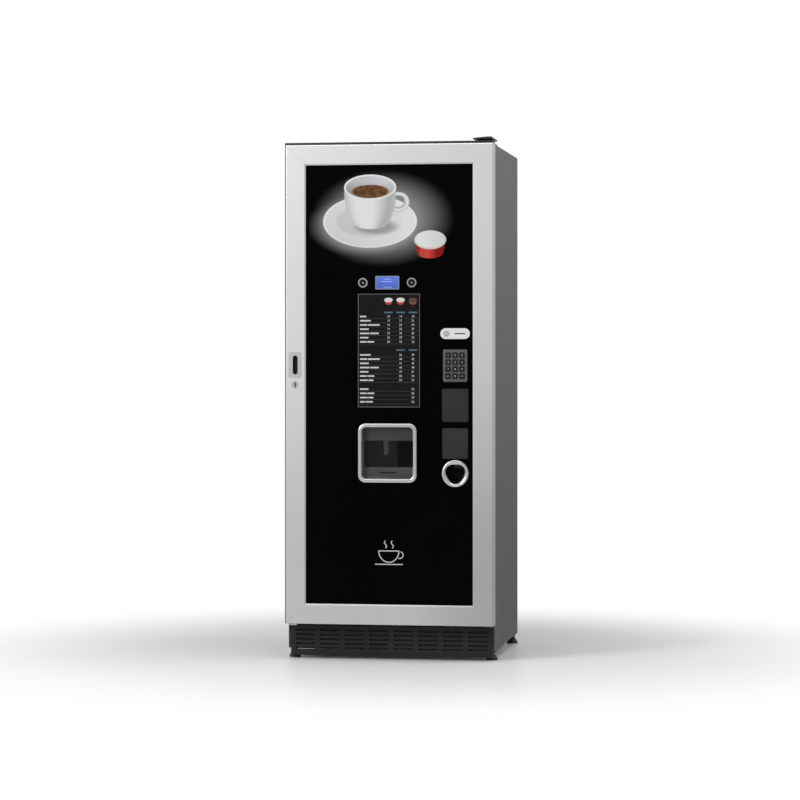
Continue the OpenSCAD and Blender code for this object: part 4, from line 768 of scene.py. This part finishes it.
# A groove ring 6.8 mm from the middle: a bump dent, darkened by painted shade.
groove_dent_and_painted_shade = abs(reach - 0.0068).fade(0.0012, 0.0004)
feed(button_shader, "Base Color", (turned * 0.06 + 0.62 - groove_dent_and_painted_shade * 0.40).between(rgb(0.0), rgb(1.0)))
feed(button_shader, "Roughness", turned * 0.08 + 0.24)
dents(button_shader, button_place, turned * 0.2 - groove_dent_and_painted_shade, 0.00015)
dress("coin_return_button", button_metal)

# ---- Cover plates ----
# Two dark grey moulded plates that close the places for other payment units.
dress("cover_plates", coated("cover_dark_grey", rgb(0.020), rgb(0.030), 0.4, 0.0010, 0.00004, gloss=0.2))

# ---- Handle, latch and lock ----
# A pale cast plate on the left upright with a finger slot, a black lever inside it, and below it the
# plated lock barrel with its key slot.
dress("handle_plate", coated("pale_handle_cast", rgb(0.46), rgb(0.52), 0.36, 0.0009, 0.00003, 0.3))
dress("latch_handle", coated("black_lever", rgb(0.010), rgb(0.018), 0.3, 0.001, 0.00004))
lock_metal, lock_shader, lock_place = new_finish("plated_lock", 0.22, 0.75)
handle_low, handle_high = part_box("handle_plate")
across = lock_place.part(0) - (handle_low.x + handle_high.x) / 2
# The key slot is a dark upright stripe down the barrel's middle: painted shade for the keyway.
painted_key_slit_shade = abs(across).fade(0.0026, 0.0020)
lock_tone = lock_place.speckle(0.004) * 0.1 + 0.55 - painted_key_slit_shade * 0.5
feed(lock_shader, "Base Color", lock_tone.between(rgb(0.0), rgb(1.0)))
feed(lock_shader, "Roughness", lock_place.speckle(0.0006, 2.0, 0.6) * 0.12 + 0.18)
dress("lock_cylinder", lock_metal)

# ---- Boiler and brewing group ----
# The boiler is drawn stainless steel, with the marks of drawing round it; the brew group is black
# moulded nylon; the pump has one brass-coloured cast metal finish.
steel, steel_shader, steel_place = new_finish("drawn_stainless", 0.26, 1.0)
drawn = steel_place.speckle(0.0008, 2.0, 0.6, (0.05, 0.05, 1.0))
feed(steel_shader, "Base Color", drawn.between(rgb(0.52, (1.0, 0.99, 0.97)), rgb(0.66, (1.0, 0.99, 0.97))))
feed(steel_shader, "Roughness", drawn * 0.15 + 0.2)
dents(steel_shader, steel_place, drawn, 0.00001)
dress("boiler", steel)
dress("brew_unit", coated("brew_nylon", rgb(0.014), rgb(0.026), 0.38, 0.0012, 0.00006))
pump, pump_shader, pump_place = new_finish("pump_casting", 0.36, 1.0)
cast_dark, cast_light = rgb(0.42, (1.0, 0.86, 0.60)), rgb(0.58, (1.0, 0.88, 0.64))
feed(pump_shader, "Base Color", pump_place.speckle(0.004, 3.0).between(cast_dark, cast_light))
dents(pump_shader, pump_place, pump_place.speckle(0.0015), 0.00008)
dress("water_pump", pump)

# ---- Tank, canisters and mixers ----
# Clear-frosted and white food-grade plastics, with the faint cloudiness of moulded polypropylene.
cool, warm = (0.96, 0.99, 1.0), (1.0, 0.99, 0.96)
frosted = coated("frosted_plastic", rgb(0.50, cool), rgb(0.60, cool), 0.3, 0.0012, 0.00004, 0.0, 0.2)
dress("water_tank", frosted)
dress("canisters", coated("canister_white", rgb(0.56, warm), rgb(0.64, warm), 0.34, 0.0014, 0.00004))
dress("mixer_bowls", coated("mixer_grey", rgb(0.38), rgb(0.46), 0.34, 0.0012, 0.00004))
magazine_grey = coated("magazine_clear_grey", rgb(0.34), rgb(0.42), 0.24, 0.0014, 0.00003, 0.0, 0.3)
dress("capsule_magazine", magazine_grey)

# ---- Cup dispenser and turret ----
# Black moulded drop ring and chute; the turret and its cups take one cream paper finish with faint rings up
# its height.
dress("cup_dispenser", coated("dispenser_black", rgb(0.016), rgb(0.028), 0.4, 0.0012, 0.00006))
paper, paper_shader, paper_place = new_finish("cup_paper", 0.5)
wound = paper_place.part(2).sum("PINGPONG", paper_place.part(2), 0.003) * (1 / 0.003)
paper_tone = wound * 0.3 + paper_place.speckle(0.004) * 0.7
cream = (1.0, 0.98, 0.94)
feed(paper_shader, "Base Color", paper_tone.between(rgb(0.62, cream), rgb(0.74, cream)))
dents(paper_shader, paper_place, paper_place.speckle(0.0012), 0.00005)
dress("cup_turret", paper)

# ---- Bins, control box and money box ----
# Black moulded buckets, a plated steel control box, the black coin mechanism and its painted cash box.
dress("waste_bins", coated("bucket_black", rgb(0.018), rgb(0.032), 0.42, 0.0016, 0.00008))
dress("control_box", zinc)
dress("coin_changer", coated("coin_gear_black", rgb(0.014), rgb(0.024), 0.36, 0.001, 0.00004))
yellow = (1.0, 0.80, 0.34)
dress("cash_box", coated("cash_box_yellow", rgb(0.26, yellow), rgb(0.32, yellow), 0.4, 0.0012, 0.00005))

# ---- Fan, hoses and water inlet ----
# Black glass-filled fan blades, clear-grey silicone hoses, and a turned brass inlet valve.
dress("fan_rotor", coated("fan_black", rgb(0.012), rgb(0.022), 0.42, 0.001, 0.00006))
dress("hoses", coated("silicone_grey", rgb(0.42), rgb(0.50), 0.3, 0.002, 0.00004, 0.0, 0.2))
brass, brass_shader, brass_place = new_finish("turned_brass", 0.26, 1.0)
lathe = brass_place.part(1).sum("PINGPONG", brass_place.part(1), 0.0011) * (1 / 0.0011)
brass_tone = lathe * 0.4 + brass_place.speckle(0.01) * 0.6
brass_dark, brass_light = rgb(0.48, (1.0, 0.74, 0.34)), rgb(0.68, (1.0, 0.76, 0.38))
feed(brass_shader, "Base Color", brass_tone.between(brass_dark, brass_light))
feed(brass_shader, "Roughness", lathe * 0.12 + 0.2)
dents(brass_shader, brass_place, lathe, 0.00006)
dress("inlet_valve", brass)

# ---- Front emblem ----
# A plain cup with two curls of steam, printed in pale lines low on the glass, as a general sign for a
# hot drink.
cup_x, cup_z = (card_low.x + card_high.x) / 2, 0.388
line_wide = 0.0036
bowl_wide, bowl_deep = 0.036, 0.040


def ribbon(name, path, wide, y):
    """A flat line along a path: each point is moved by half its width to either side, along the
    normal (-dz, dx) of the path."""
    path = np.array(path, float)
    run = np.gradient(path, axis=0)
    side = np.stack([-run[:, 1], run[:, 0]], 1) / np.linalg.norm(run, axis=1)[:, None] * wide / 2
    grid = np.stack([path - side, path + side], 1)
    points = np.stack([grid[..., 0], np.full(grid.shape[:2], y), grid[..., 1]], -1)
    made = surface(name, points, False, False)
    face_front(made)
    return made


arc = np.linspace(-math.pi, 0.0, 25)
bowl_line = np.stack([cup_x + bowl_wide * np.cos(arc), cup_z + bowl_deep * np.sin(arc)], 1)
rim_line = np.stack([cup_x + np.linspace(-0.0378, 0.0378, 5), np.full(5, cup_z)], 1)
ear_arc = np.linspace(-1.9, 1.25, 17)
ear_line = np.stack([cup_x + 0.038 + 0.013 * np.cos(ear_arc), cup_z - 0.014 + 0.012 * np.sin(ear_arc)], 1)
saucer_line = np.stack([cup_x + np.linspace(-0.050, 0.050, 5), np.full(5, cup_z - 0.047)], 1)
rise = np.linspace(0.0, 1.0, 17)
lines = [bowl_line, rim_line, ear_line, saucer_line]
for shift in (-0.012, 0.012):
    curl = 0.004 * np.sin(rise * 2 * math.pi)
    lines.append(np.stack([cup_x + shift + curl, cup_z + 0.010 + rise * 0.026], 1))
emblem_ink, emblem_shader, emblem_place = new_finish("emblem_ink", 0.4)
feed(emblem_shader, "Base Color", emblem_place.speckle(0.01).between(rgb(0.42), rgb(0.50)))
for i, path in enumerate(lines):
    stroke = ribbon("emblem_line_%d" % (i + 1), path, line_wide, film_y - 0.00002 * i)
    stroke.data.materials.append(emblem_ink)
    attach(stroke, "door")
